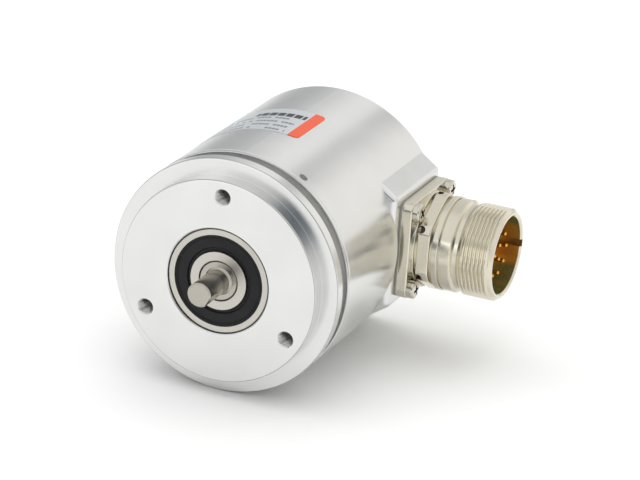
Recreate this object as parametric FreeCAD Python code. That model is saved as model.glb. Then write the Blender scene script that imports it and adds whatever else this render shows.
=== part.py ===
import FreeCAD, Part
import math
import os

Vec = FreeCAD.Vector


def spread(count, first=0.0):
    """Evenly spaced angles round a full turn."""
    return [first + i * 360.0 / count for i in range(count)]


# Single-turn shaft encoder with a clamping flange and a radial round connector.
# Millimetres. The shaft runs along Y and points to -Y; the connector points to +X; Z is up.
# The origin is the centre of the flange's front face. Angles run from +X towards +Z.

# ---------------------------------------------------------------- driving sizes
body_r = 29.0            # outside radius of flange disc and housing
collar_r = 25.0          # centring collar
collar_length = 4.0
disc_end = 7.0           # back of the flange disc, front of the servo groove
groove_end = 10.0        # back of the servo groove
groove_r = 26.5
joint_y = 11.0           # where the housing meets the flange
rear_y = 67.0            # back of the housing
edge_chamfer = 0.3

mount_holes = 3
mount_pcd = 42.0
mount_core_r = 1.65      # tap drill of an M4 thread
mount_sink_r = 2.1
mount_depth = 8.0

shaft_r = 3.0
shaft_length = 10.0      # free shaft in front of the flange face
flat_depth = 0.4
flat_length = 7.0
journal_r = 5.0          # shaft inside the bearings
stub_r = 4.0             # shaft inside the disc hub

wall = 1.9               # housing wall
rear_wall = 2.5
rear_round = 1.2
spigot_length = 7.5      # flange inside the housing
spigot_wall = 2.7
hub_wall = 4.0           # bearing carrier outside the front bearing's seat

slip = 0.05              # radial gap of a part that slides in and stays
play = 0.10              # gap between parts that turn against each other

# bearings: bore radius, outside radius, width, pitch radius, ball radius, balls
front_bearing = dict(outer=13.0, width=8.0, pitch=9.0, ball=2.381, count=7,
                     inner_land=7.15, outer_land=10.9, recess=11.35, seal=0.7, sink=0.25)
rear_bearing = dict(outer=11.0, width=6.0, pitch=8.0, ball=1.5875, count=10,
                    inner_land=6.9, outer_land=9.2, recess=9.8, seal=0.6, sink=0.2)
bearing_recess = 0.5     # front bearing behind the flange face
shoulder_length = 6.0    # flange shoulder between the bearings
shoulder_lip = 1.1       # step that the rear bearing's outer ring rests on
race_gap = 0.03          # ball to raceway

washer_thickness = 0.4
washer_height = 0.8
clip_thickness = 1.0

disc_r = 18.0
disc_thickness = 1.0
track_r = 13.8           # track on the code disc
board_clear = 2.6        # between a board's edge and the housing bore
board_thickness = 1.6
board_gap = 7.5          # between the two boards

seat_depth = 0.8         # connector seat below the housing's round outside
seat_wall = 4.5          # metal behind the seat
boss_border = 1.55       # seat beyond the connector plate, above and below
boss_front_border = 2.95
boss_slope = 0.694       # rise of the boss's top side per millimetre towards the shaft
boss_round = 1.5

conn_setback = 12.8      # connector axis in front of the housing's back, in the plane z = 0
gasket_thickness = 0.4
plate_half = 12.25
plate_thickness = 2.6
plate_round = 2.0
plate_screw_pitch = 19.8
conn_thread_r = 11.5     # M23 x 1
barrel_length = 20.8     # from the plate to the mouth plane
mouth_r = 9.6
insert_r = 8.4
insert_sink = 9.3        # insulator's face below the mouth plane
pin_sink = 2.1           # pin tips below the mouth plane
pin_r = 0.5
outer_pins = 9
outer_pin_circle = 5.6
inner_pins = 3
inner_pin_circle = 2.05

label_thickness = 0.1
label_front = 28.0
label_back = 45.3
label_start = 78.0
label_end = 188.0

stud_r = 1.25            # M2.5 threads of spacers and board screws
stud_length = 4.0
standoff_across = 4.5
board_screw_head_r = 2.2
lamp_screw_r = 0.8
lamp_screw_x = 6.0
lamp_r = 2.4
hub_screw_r = 1.25
hub_screw_length = 8.0
hub_web = 2.0            # hub between the shaft's end and the screw head

crimp_r = 0.9
oring_section = 1.5
conn_bore_r = 10.0
plate_screw_r = 1.25
plate_screw_depth = 4.0
screw_head_r = 2.3
screw_head_height = 1.9
hex_across = 22.4
hex_corner_r = 12.3
key_width = 1.8
key_depth = 0.7

# ---------------------------------------------------------------- places worked out
housing_bore = body_r - wall
hub_r = front_bearing["outer"] + hub_wall
shoulder_r = rear_bearing["outer"] - shoulder_lip
spigot_r = housing_bore - slip
spigot_end = joint_y + spigot_length
board_r = housing_bore - board_clear
board_pitch = (hub_r + spigot_r - spigot_wall) / 2
standoff_fit = (spigot_r - spigot_wall - hub_r) * math.cos(math.radians(30)) - 2 * slip
standoff_width = min(standoff_across, standoff_fit)
pocket_floor = joint_y + 1.0
front_y = bearing_recess
front_mid = front_y + front_bearing["width"] / 2
front_end = front_y + front_bearing["width"]
rear_bearing_y = front_end + shoulder_length
rear_mid = rear_bearing_y + rear_bearing["width"] / 2
rear_bearing_end = rear_bearing_y + rear_bearing["width"]
clip_y = rear_bearing_end + washer_height
hub_end = clip_y + clip_thickness + 1.2
shaft_clip_y = rear_bearing_end + slip
journal_end = shaft_clip_y + clip_thickness + 0.9
disc_y = journal_end + 4.9
disc_back = disc_y + disc_thickness
clamp_back = disc_back + 0.5
reticle_y = disc_back + 0.15
reticle_thickness = 0.7
chip_y = reticle_y + reticle_thickness
chip_thickness = 1.7
board_y = chip_y + chip_thickness
board2_y = board_y + board_thickness + board_gap
header_y = board2_y + board_thickness
hub_seat_end = clamp_back - hub_web

hole_angles = spread(mount_holes, 90.0)
standoff_angles = spread(3, 30.0)
crimp_angles = spread(3, 60.0)
crimp_y = joint_y + 2.0
oring_y = joint_y + 4.6

conn_y = rear_y - conn_setback
boss_seat = body_r - seat_depth
boss_front = conn_y - plate_half - boss_front_border
boss_half = plate_half + boss_border
boss_inside = boss_seat - seat_wall
plate_x = boss_seat + gasket_thickness
plate_front = plate_x + plate_thickness
conn_end = plate_front + barrel_length
insert_face = conn_end - insert_sink
pin_tip = conn_end - pin_sink
step_x = insert_face - 1.2           # step that the insulator's rim rests on
contact_board_x = boss_inside + 0.3


# ---------------------------------------------------------------- shape helpers
def cyl_y(radius, start, end, x=0.0, z=0.0):
    """Solid cylinder along Y between two Y values."""
    return Part.makeCylinder(radius, end - start, Vec(x, start, z), Vec(0, 1, 0))


def tube_y(outer, inner, start, end, x=0.0, z=0.0):
    """Plain ring along Y."""
    longer = cyl_y(inner, start - 1.0, end + 1.0, x, z)
    return cyl_y(outer, start, end, x, z).cut(longer)


def cyl_x(radius, start, end, y=conn_y, z=0.0):
    """Solid cylinder along X, by default on the connector's axis."""
    return Part.makeCylinder(radius, end - start, Vec(start, y, z), Vec(1, 0, 0))


def tube_x(outer, inner, start, end, y=conn_y, z=0.0):
    """Plain ring along X."""
    return cyl_x(outer, start, end, y, z).cut(cyl_x(inner, start - 1.0, end + 1.0, y, z))


def block(low, high):
    """Box between two opposite corners."""
    size = [b - a for a, b in zip(low, high)]
    return Part.makeBox(size[0], size[1], size[2], Vec(low[0], low[1], low[2]))


def turned_y(profile, sweep=360.0):
    """Turn a closed outline of (radius, y) points about the shaft axis."""
    points = [Vec(r, y, 0) for r, y in profile]
    face = Part.Face(Part.makePolygon(points + points[:1]))
    return face.revolve(Vec(0, 0, 0), Vec(0, 1, 0), sweep)


def turned_x(profile):
    """Turn a closed outline of (x, radius) points about the connector's axis."""
    points = [Vec(x, conn_y + r, 0) for x, r in profile]
    face = Part.Face(Part.makePolygon(points + points[:1]))
    return face.revolve(Vec(0, conn_y, 0), Vec(1, 0, 0), 360.0)


def turn_about_shaft(shape, angle):
    """Copy of a shape swung about the shaft axis, from +X towards +Z."""
    copy = shape.copy()
    copy.rotate(Vec(0, 0, 0), Vec(0, 1, 0), -angle)
    return copy


def turn_about_connector(shape, angle):
    """Copy of a shape swung about the connector's axis, from +Y towards +Z."""
    copy = shape.copy()
    copy.rotate(Vec(0, conn_y, 0), Vec(1, 0, 0), angle)
    return copy


def fan(shape, angles):
    """Copies of one shape at several angles about the shaft axis."""
    return [turn_about_shaft(shape, angle) for angle in angles]


def drill(shape, cutters):
    """Cut a list of tools out of a shape."""
    return shape.cut(Part.makeCompound(cutters))


def merge(shapes):
    """One solid out of touching pieces, with its seams cleaned."""
    body = shapes[0].fuse(shapes[1:])
    return body.removeSplitter()


def torus_y(pitch, tube, y):
    """Torus about the shaft axis."""
    return Part.makeTorus(pitch, tube, Vec(0, y, 0), Vec(0, 1, 0))


def hexagon_y(across, start, end, x=0.0, z=0.0):
    """Six-sided bar along Y."""
    corner = across / 2 / math.cos(math.radians(30))
    points = []
    for angle in spread(6):
        a = math.radians(angle)
        points.append(Vec(x + corner * math.cos(a), start, z + corner * math.sin(a)))
    face = Part.Face(Part.makePolygon(points + points[:1]))
    return face.extrude(Vec(0, end - start, 0))


def save(name, shapes):
    """Write one node: a solid, or a group of separate solids."""
    group = shapes if isinstance(shapes, list) else [shapes]
    shape = group[0] if len(group) == 1 else Part.makeCompound(group)
    shape.exportStep("parts/" + name + ".step")


# ---------------------------------------------------------------- flange and housing
def flange_outline():
    """Outside of the flange, from the front face to the end of the spigot."""
    c = edge_chamfer
    return [(0, 0), (collar_r - c, 0), (collar_r, c), (collar_r, collar_length),
            (body_r - c, collar_length), (body_r, collar_length + c),
            (body_r, disc_end - c), (body_r - c, disc_end), (groove_r, disc_end),
            (groove_r, groove_end), (body_r - c, groove_end), (body_r, groove_end + c),
            (body_r, joint_y), (spigot_r, joint_y), (spigot_r, spigot_end - c),
            (spigot_r - c, spigot_end), (0, spigot_end)]


def mount_hole():
    """Blind tapped hole with a small countersink, on the +X side."""
    x = mount_pcd / 2
    bore = cyl_y(mount_core_r, -1.0, mount_depth, x)
    sink = mount_sink_r - mount_core_r
    cone = Part.makeCone(mount_sink_r, mount_core_r, sink, Vec(x, 0, 0), Vec(0, 1, 0))
    tip = Part.makeCone(mount_core_r, 0, mount_core_r * 0.6, Vec(x, mount_depth, 0), Vec(0, 1, 0))
    return bore.fuse([cone, tip])


def make_flange():
    """Turned flange: collar, disc, servo groove, spigot and bearing carrier in one piece."""
    pocket = tube_y(spigot_r - spigot_wall, hub_r, pocket_floor, spigot_end + 1)
    solid = merge([turned_y(flange_outline()).cut(pocket), cyl_y(hub_r, pocket_floor - 1, hub_end)])
    cuts = [cyl_y(front_bearing["outer"], -1.0, front_end),
            cyl_y(shoulder_r, -1.0, hub_end + 1),
            cyl_y(rear_bearing["outer"], rear_bearing_y, hub_end + 1),
            cyl_y(rear_bearing["outer"] + 0.5, clip_y, clip_y + clip_thickness + slip),
            tube_y(spigot_r + 1, spigot_r - oring_section * 0.8,
                   oring_y - oring_section * 0.6, oring_y + oring_section * 0.6)]
    seat_chamfer = Part.makeCone(front_bearing["outer"] + edge_chamfer, front_bearing["outer"],
                                 edge_chamfer, Vec(0, 0, 0), Vec(0, 1, 0))
    cuts.append(seat_chamfer)
    cuts += fan(mount_hole(), hole_angles)
    cuts += fan(cyl_y(stud_r, pocket_floor - stud_length, pocket_floor + 1, board_pitch), standoff_angles)
    crimp = Part.makeCylinder(crimp_r + 0.2, 2.0, Vec(spigot_r - 1.2, crimp_y, 0), Vec(1, 0, 0))
    cuts += fan(crimp, crimp_angles)
    for side in (-1, 1):
        cuts.append(cyl_y(lamp_screw_r, hub_end - 3.5, hub_end + 1, side * lamp_screw_x, lamp_screw_z))
    return drill(solid, cuts)


def boss_foot():
    """X and half height where the boss's sloping sides run into the round housing."""
    inside = body_r - 0.5
    a = 1 + boss_slope ** 2
    b = boss_seat - boss_slope * boss_half
    c = boss_seat ** 2 + boss_half ** 2 - inside ** 2
    run = (b - math.sqrt(max(b * b - a * c, 0.0))) / a
    return boss_seat - run, boss_half + boss_slope * run


def make_boss():
    """Block under the connector: flat seat, sloping top and bottom, rounded edges."""
    foot_x, foot_half = boss_foot()
    outline = [Vec(foot_x, boss_front, foot_half), Vec(boss_seat, boss_front, boss_half),
               Vec(boss_seat, boss_front, -boss_half), Vec(foot_x, boss_front, -foot_half)]
    prism = Part.Face(Part.makePolygon(outline + outline[:1])).extrude(Vec(0, rear_y - boss_front, 0))
    outer = [e for e in prism.Edges if max(v.Point.x for v in e.Vertexes) > boss_seat - 0.01]
    return prism.makeFillet(boss_round, outer)


def circle_at(shape, y):
    """Circular edges of a turned shape at one Y."""
    return [e for e in shape.Edges if abs(e.BoundBox.YMin - y) < 0.01 and abs(e.BoundBox.YMax - y) < 0.01]


def make_cup():
    """Plain round outside of the housing."""
    cup = cyl_y(body_r, joint_y, rear_y)
    cup = cup.makeFillet(rear_round, circle_at(cup, rear_y))
    return cup.makeChamfer(edge_chamfer, circle_at(cup, joint_y))


def make_housing():
    """Drawn cup with the connector boss, its bore and four blind screw holes."""
    solid = merge([make_cup(), make_boss()])
    flat = block((boss_seat, boss_front + 1.0, -boss_half), (body_r + 1, rear_y + 1, boss_half))
    cavity = cyl_y(housing_bore, joint_y - 1, rear_y - rear_wall)
    keep = block((boss_inside, header_y + 0.5, -boss_half), (body_r, rear_y, boss_half))
    cuts = [flat, cavity.cut(keep), cyl_x(conn_bore_r, boss_inside - 5, body_r + 1)]
    for y, z in screw_places():
        cuts.append(cyl_x(plate_screw_r, boss_seat - plate_screw_depth, body_r + 1, y, z))
    dimple = Part.makeCone(0.3, 1.2, 0.9, Vec(body_r - 0.8, crimp_y, 0), Vec(1, 0, 0))
    cuts += fan(dimple, crimp_angles)
    solid = drill(solid, cuts)
    nub = Part.makeCylinder(crimp_r, 0.9, Vec(housing_bore - 0.7, crimp_y, 0), Vec(1, 0, 0))
    return merge([solid] + fan(nub, crimp_angles))


def make_housing_oring():
    """O-ring drawn as fitted: it fills the gap from groove floor to housing bore."""
    floor = spigot_r - oring_section * 0.8
    half = oring_section * 0.5
    return tube_y(housing_bore, floor, oring_y - half, oring_y + half)


def make_label():
    """Foil label that wraps part of the housing."""
    profile = [(body_r, label_front), (body_r + label_thickness, label_front),
               (body_r + label_thickness, label_back), (body_r, label_back)]
    band = turned_y(profile, label_end - label_start)
    return turn_about_shaft(band, label_end)


# ---------------------------------------------------------------- bearings
def ball_groove(bearing, middle):
    """Torus that the balls roll in, a little larger than the ball."""
    return torus_y(bearing["pitch"], bearing["ball"] + race_gap, middle)


def outer_ring(bearing, start):
    """Outer ring with its ball groove and a recess for each seal."""
    end = start + bearing["width"]
    depth = bearing["sink"] + bearing["seal"]
    ring = tube_y(bearing["outer"], bearing["outer_land"], start, end)
    cuts = [ball_groove(bearing, (start + end) / 2),
            cyl_y(bearing["recess"], start - 1, start + depth),
            cyl_y(bearing["recess"], end - depth, end + 1)]
    ring = drill(ring, cuts)
    bevel = 0.3
    cone = tube_y(bearing["outer"] + 1, bearing["outer"] - bevel, start - 1, start + bevel)
    core = Part.makeCone(bearing["outer"] - bevel, bearing["outer"], bevel, Vec(0, start, 0), Vec(0, 1, 0))
    return ring.cut(cone.cut(core))


def inner_ring(bearing, start):
    """Inner ring with its ball groove."""
    end = start + bearing["width"]
    ring = tube_y(bearing["inner_land"], journal_r, start, end)
    return ring.cut(ball_groove(bearing, (start + end) / 2))


def seals(bearing, start):
    """The two rubber seals: held in the outer ring, clear of the inner ring."""
    end = start + bearing["width"]
    sink = bearing["sink"]
    thick = bearing["seal"]
    inner = bearing["inner_land"] + play
    return [tube_y(bearing["recess"], inner, start + sink, start + sink + thick),
            tube_y(bearing["recess"], inner, end - sink - thick, end - sink)]


def balls(bearing, middle):
    """Ring of balls."""
    ball = Part.makeSphere(bearing["ball"], Vec(bearing["pitch"], middle, 0))
    return fan(ball, spread(bearing["count"]))


def cage(bearing, middle):
    """Crown cage: pockets open to the front, a ring joins them behind the balls."""
    pocket_r = bearing["ball"] + play
    half = min(bearing["pitch"] - bearing["inner_land"], bearing["outer_land"] - bearing["pitch"]) - 2 * play
    half = min(half, bearing["ball"] * 0.4)
    back = bearing["width"] / 2 - bearing["sink"] - bearing["seal"] - play
    ring = tube_y(bearing["pitch"] + half, bearing["pitch"] - half,
                  middle - bearing["ball"] * 0.5, middle + back)
    pocket = Part.makeCylinder(pocket_r, half * 2 + 2, Vec(bearing["pitch"] - half - 1, middle, 0), Vec(1, 0, 0))
    return drill(ring, fan(pocket, spread(bearing["count"])))


def make_wave_washer():
    """Wavy spring ring, three waves, drawn as a ruled surface given a thickness."""
    outer = rear_bearing["outer"] - 0.3
    inner = rear_bearing["outer"] - 2.6
    middle = rear_bearing_end + washer_height / 2
    swing = (washer_height - washer_thickness) / 2
    rings = []
    for radius in (inner, outer):
        points = []
        for angle in spread(36):
            a = math.radians(angle)
            y = middle - washer_thickness / 2 + swing * math.cos(3 * a)
            points.append(Vec(radius * math.cos(a), y, radius * math.sin(a)))
        curve = Part.BSplineCurve()
        curve.interpolate(points, PeriodicFlag=True)
        rings.append(curve.toShape())
    skin = Part.makeRuledSurface(rings[0], rings[1])
    return skin.extrude(Vec(0, washer_thickness, 0))


def snap_ring(outer, inner, start, gap_angle, lug_r, lug_at):
    """Open retaining ring with two lugs beside its gap."""
    half = math.radians(gap_angle / 2)
    ring = tube_y(outer, inner, start, start + clip_thickness)
    reach = outer * 2
    wedge = Part.makePolygon([Vec(0, start - 1, 0),
                              Vec(reach * math.cos(half), start - 1, reach * math.sin(half)),
                              Vec(reach * math.cos(half), start - 1, -reach * math.sin(half)),
                              Vec(0, start - 1, 0)])
    cutter = Part.Face(wedge).extrude(Vec(0, clip_thickness + 2, 0))
    ring = ring.cut(cutter)
    pieces = [ring]
    for side in (-1, 1):
        a = side * (half + math.asin(lug_r / lug_at))
        lug = cyl_y(lug_r, start, start + clip_thickness, lug_at * math.cos(a), lug_at * math.sin(a))
        pieces.append(lug)
    body = merge(pieces)
    holes = []
    for side in (-1, 1):
        a = side * (half + math.asin(lug_r / lug_at))
        holes.append(cyl_y(lug_r * 0.4, start - 1, start + clip_thickness + 1,
                           lug_at * math.cos(a), lug_at * math.sin(a)))
    return drill(body, holes)


# ---------------------------------------------------------------- shaft group
hub_body_r = 6.5
hub_flange_r = 9.0
hub_flange = 1.5
hub_nose_r = 4.9


def make_shaft():
    """Stepped shaft: free end with a flat, bearing journal, clip groove and hub stub."""
    c = 0.35
    shoulder_y = front_y + 0.1
    root = 0.5
    outline = [(0, -shaft_length), (shaft_r - c, -shaft_length), (shaft_r, c - shaft_length),
               (shaft_r, flat_length - shaft_length), (shaft_r, shoulder_y - root), (shaft_r + root, shoulder_y),
               (journal_r - c, shoulder_y), (journal_r, shoulder_y + c), (journal_r, journal_end),
               (stub_r, journal_end), (stub_r, hub_seat_end), (0, hub_seat_end)]
    shaft = turned_y(outline)
    groove = tube_y(journal_r + 1, journal_r - 0.25, shaft_clip_y, shaft_clip_y + clip_thickness + slip)
    tap = cyl_y(hub_screw_r + slip / 2, hub_seat_end - hub_screw_length, hub_seat_end + 1)
    away = block((shaft_r - flat_depth, -shaft_length - 1, -shaft_r),
                 (shaft_r + 1, flat_length - shaft_length, shaft_r))
    return drill(shaft, [groove, tap, turn_about_shaft(away, -28.0)])


def make_disc_hub():
    """Hub that carries the code disc: body, flange and a nose that centres the disc."""
    outline = [(0, journal_end), (hub_body_r, journal_end), (hub_body_r, disc_y - hub_flange),
               (hub_flange_r, disc_y - hub_flange), (hub_flange_r, disc_y), (hub_nose_r, disc_y),
               (hub_nose_r, clamp_back), (0, clamp_back)]
    bore = cyl_y(stub_r, journal_end - 1, hub_seat_end)
    hole = cyl_y(hub_screw_r + play, hub_seat_end - 1, clamp_back + 1)
    return drill(turned_y(outline), [bore, hole])


def make_hub_screw():
    """Pan head screw that holds the hub on the shaft's end."""
    shank = cyl_y(hub_screw_r, hub_seat_end - hub_screw_length + 1, clamp_back)
    head = cyl_y(2.2, clamp_back, clamp_back + 1.3)
    cross = [block((-1.1, clamp_back + 0.6, -0.25), (1.1, clamp_back + 2, 0.25)),
             block((-0.25, clamp_back + 0.6, -1.1), (0.25, clamp_back + 2, 1.1))]
    return drill(merge([shank, head]), cross)


# ---------------------------------------------------------------- optical sensor and boards
lamp_head_r = 1.5
lamp_screw_z = track_r
holder_half = lamp_screw_x + lamp_head_r + play + 0.3
holder_low = track_r - 2.6
holder_high = track_r + 2.6
holder_end = disc_y - 0.6


def make_lamp_holder():
    """Small block that carries the lamp and its lens in front of the code disc."""
    solid = block((-holder_half, hub_end, holder_low), (holder_half, holder_end, holder_high))
    cuts = [cyl_y(lamp_r + slip, hub_end + 0.6, holder_end + 1, 0, track_r)]
    for side in (-1, 1):
        cuts.append(cyl_y(lamp_screw_r + play, hub_end - 1, holder_end + 1, side * lamp_screw_x, lamp_screw_z))
        cuts.append(cyl_y(lamp_head_r + play, holder_end - 1.2, holder_end + 1, side * lamp_screw_x, lamp_screw_z))
    return drill(solid, cuts)


def make_lamp_screws():
    """Two tiny screws that hold the lamp holder to the bearing carrier."""
    screws = []
    for side in (-1, 1):
        x = side * lamp_screw_x
        shank = cyl_y(lamp_screw_r, hub_end - 3.0, holder_end - 1.2, x, lamp_screw_z)
        head = cyl_y(lamp_head_r, holder_end - 1.2, holder_end - 0.2, x, lamp_screw_z)
        slot = block((x - 2, holder_end - 0.6, lamp_screw_z - 0.2), (x + 2, holder_end, lamp_screw_z + 0.2))
        screws.append(merge([shank, head]).cut(slot))
    return screws


def make_lamp():
    """Infrared emitter in the holder's bore."""
    return cyl_y(lamp_r, hub_end + 0.6, hub_end + 1.5, 0, track_r)


def make_lamp_lens():
    """Plano-convex lens over the emitter."""
    base = cyl_y(lamp_r, hub_end + 1.5, holder_end - 0.9, 0, track_r)
    bulge = lamp_r * 1.5
    rise = bulge - math.sqrt(bulge * bulge - lamp_r * lamp_r)
    ball = Part.makeSphere(bulge, Vec(0, holder_end - 0.9 + rise - bulge, track_r))
    cap = ball.common(cyl_y(lamp_r, holder_end - 0.95, holder_end + 2, 0, track_r))
    return merge([base, cap])


def chip_box(y0, y1, width, height, z, x=0.0):
    """Flat package centred on a board position."""
    return block((x - width / 2, y0, z - height / 2), (x + width / 2, y1, z + height / 2))


def make_board(start, extra):
    """Round circuit board with three screw holes."""
    board = cyl_y(board_r, start, start + board_thickness)
    cuts = fan(cyl_y(stud_r + play, start - 1, start + board_thickness + 1, board_pitch), standoff_angles)
    return drill(board, cuts + extra)


def make_standoffs(start, end, stud_start):
    """Three hexagonal spacers with a stud in front and a tapped hole behind."""
    body = hexagon_y(standoff_width, start, end, board_pitch)
    stud = cyl_y(stud_r - slip / 2, stud_start, start + 0.5, board_pitch)
    tap = cyl_y(stud_r, end - 4.5, end + 1, board_pitch)
    return fan(merge([body, stud]).cut(tap), standoff_angles)


def make_board_screws(seat):
    """Three pan head screws through a board into the spacers."""
    shank = cyl_y(stud_r - slip / 2, seat - board_thickness - 4.0, seat, board_pitch)
    head = cyl_y(board_screw_head_r, seat, seat + 1.5, board_pitch)
    cross = [block((board_pitch - 1.1, seat + 0.8, -0.25), (board_pitch + 1.1, seat + 2, 0.25)),
             block((board_pitch - 0.25, seat + 0.8, -1.1), (board_pitch + 0.25, seat + 2, 1.1))]
    return fan(drill(merge([shank, head]), cross), standoff_angles)


# ---------------------------------------------------------------- connector
spigot_conn_r = conn_bore_r - 0.1
ring_front = insert_face + 0.9


def screw_places():
    """Y and Z of the four plate screws."""
    half = plate_screw_pitch / 2
    return [(conn_y + sy * half, sz * half) for sy in (-1, 1) for sz in (-1, 1)]


def plate_block(start, end, half, radius):
    """Square plate with rounded corners on the connector's axis."""
    plate = block((start, conn_y - half, -half), (end, conn_y + half, half))
    corners = [e for e in plate.Edges
               if abs(e.Vertexes[0].Point.x - e.Vertexes[-1].Point.x) > (end - start) / 2]
    return plate.makeFillet(radius, corners)


def make_gasket():
    """Thin rubber gasket between plate and seat."""
    sheet = plate_block(boss_seat, plate_x, plate_half - 0.2, plate_round)
    holes = [cyl_x(plate_screw_r + 0.15, boss_seat - 1, plate_x + 1, y, z) for y, z in screw_places()]
    return drill(sheet, holes + [cyl_x(conn_bore_r, boss_seat - 1, plate_x + 1)])


def barrel_outline():
    """Outside of the connector barrel, from the plate to the mouth."""
    x = plate_front
    return [(plate_x - 2.0, 0), (plate_x - 2.0, spigot_conn_r), (plate_x, spigot_conn_r),
            (plate_x, spigot_conn_r + 1.0), (x, spigot_conn_r + 1.0), (x, 12.0), (x + 0.8, 12.0),
            (x + 1.0, 11.8), (x + 1.0, 10.6), (x + 1.5, 10.6), (x + 1.5, 10.9), (x + 4.7, 10.9),
            (x + 4.7, 10.7), (x + 5.3, 10.7), (x + 5.3, 11.5), (x + 5.5, 11.7), (x + 6.7, 11.7),
            (x + 6.9, 11.5), (x + 6.9, 11.1), (x + 7.2, 11.1), (x + 7.2, 11.5), (x + 10.0, 11.5),
            (x + 10.6, 10.7), (x + 11.6, 10.7), (x + 12.1, conn_thread_r - 0.4),
            (x + 12.5, conn_thread_r), (conn_end - 0.9, conn_thread_r), (conn_end - 0.2, 10.75),
            (conn_end, 10.55), (conn_end, 0)]


def make_connector_shell():
    """Square plate and barrel in one turned and milled piece, with the hexagon and the key slot."""
    x = plate_front
    barrel = turned_x(barrel_outline())
    corner = hex_across / 2 / math.cos(math.radians(30))
    points = []
    for angle in spread(6, 30.0):
        a = math.radians(angle)
        points.append(Vec(x + 1.5, conn_y + corner * math.cos(a), corner * math.sin(a)))
    prism = Part.Face(Part.makePolygon(points + points[:1])).extrude(Vec(3.2, 0, 0))
    nut = prism.common(turned_x([(x + 1.5, 0), (x + 1.5, hex_corner_r - 0.4), (x + 1.9, hex_corner_r),
                                 (x + 4.3, hex_corner_r), (x + 4.7, hex_corner_r - 0.4), (x + 4.7, 0)]))
    shell = merge([barrel, plate_block(plate_x, plate_front, plate_half, plate_round), nut])
    cuts = [cyl_x(insert_r, plate_x - 3, conn_end + 1), cyl_x(mouth_r, step_x, conn_end + 1)]
    for y, z in screw_places():
        cuts.append(cyl_x(plate_screw_r + 0.15, plate_x - 1, plate_front + 1, y, z))
        cuts.append(cyl_x(screw_head_r + 0.15, plate_front, plate_front + screw_head_height, y, z))
    cuts.append(block((step_x, conn_y, -key_width / 2),
                      (conn_end + 1, conn_y + mouth_r + key_depth, key_width / 2)))
    pocket = cyl_y(0.95, 0, 2.0, plate_front + 2.2, 0)
    pocket.translate(Vec(0, conn_y + hex_corner_r - 1.4, 0))
    cuts += [turn_about_connector(pocket, angle) for angle in spread(6, 30.0)]
    chamfer = Part.makeCone(mouth_r, mouth_r + 0.4, 0.4, Vec(conn_end - 0.4, conn_y, 0), Vec(1, 0, 0))
    return drill(shell, cuts + [chamfer])


def pin_places():
    """Y and Z of the twelve contacts: nine outside, three inside."""
    places = []
    for count, circle, first in ((outer_pins, outer_pin_circle, 3.0), (inner_pins, inner_pin_circle, 60.0)):
        for angle in spread(count, first):
            a = math.radians(angle)
            places.append((conn_y + circle * math.cos(a), circle * math.sin(a)))
    return places


def make_insulator():
    """Moulded contact carrier with a rim, a key and a rear O-ring groove."""
    body = turned_x([(plate_x - 1.6, 0), (plate_x - 1.6, insert_r - slip), (step_x, insert_r - slip),
                     (step_x, mouth_r - slip), (insert_face, mouth_r - slip), (insert_face, 0)])
    groove = tube_x(insert_r + 1, insert_r - 0.9, step_x - 5.2, step_x - 3.8)
    key = block((step_x, conn_y + mouth_r - 1.0, -key_width / 2 + slip),
                (insert_face, conn_y + mouth_r + key_depth - slip, key_width / 2 - slip))
    body = merge([body, key]).cut(groove)
    return drill(body, [cyl_x(0.8, plate_x - 3, insert_face + 1, y, z) for y, z in pin_places()])


def make_contacts():
    """Machined contact pins: rounded tip, collar inside the carrier, thin solder tail."""
    pins = []
    for y, z in pin_places():
        tip = Part.makeSphere(pin_r, Vec(pin_tip - pin_r, y, z))
        shaft = cyl_x(pin_r, insert_face - 0.6, pin_tip - pin_r, y, z)
        collar = cyl_x(0.8, plate_x - 1.0, insert_face - 0.6, y, z)
        tail = cyl_x(0.35, contact_board_x, plate_x - 1.0, y, z)
        pins.append(merge([collar, shaft, tip, tail]))
    return pins


contact_board_thickness = 1.2


def make_contact_board():
    """Small round board soldered to the tails of the contacts."""
    disc = cyl_x(8.6, contact_board_x, contact_board_x + contact_board_thickness)
    return drill(disc, [cyl_x(0.45, contact_board_x - 1, contact_board_x + 3, y, z) for y, z in pin_places()])


def make_lock_ring():
    """Snap ring in the mouth that holds the insulator back."""
    ring = tube_x(mouth_r - slip, mouth_r - 1.1, insert_face, ring_front)
    gap = block((insert_face - 1, conn_y + mouth_r - 2.0, -1.1), (ring_front + 1, conn_y + mouth_r + 1, 1.1))
    return ring.cut(gap)


def make_insert_oring():
    """O-ring between insulator and barrel, drawn as fitted."""
    return tube_x(insert_r, insert_r - 0.9, step_x - 5.1, step_x - 3.9)


def make_plate_screws():
    """Four cross recess cheese head screws."""
    screws = []
    for y, z in screw_places():
        shank = cyl_x(plate_screw_r - slip / 2, boss_seat - 3.4, plate_front, y, z)
        head = cyl_x(screw_head_r, plate_front, plate_front + screw_head_height, y, z)
        rim = [e for e in head.Edges if abs(e.BoundBox.XMin - plate_front - screw_head_height) < 0.01
               and abs(e.BoundBox.XMax - plate_front - screw_head_height) < 0.01]
        head = head.makeFillet(0.5, rim)
        low = plate_front + screw_head_height - 1.1
        high = low + 3
        cross = [block((low, y - 1.3, z - 0.28), (high, y + 1.3, z + 0.28)),
                 block((low, y - 0.28, z - 1.3), (high, y + 0.28, z + 1.3))]
        screws.append(drill(merge([shank, head]), cross))
    return screws


# ---------------------------------------------------------------- internal cable
cable_width = 13.0
cable_thickness = 0.9
header_x = 4.0
header_height = 5.0
socket_x = contact_board_x - 4.2


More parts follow.
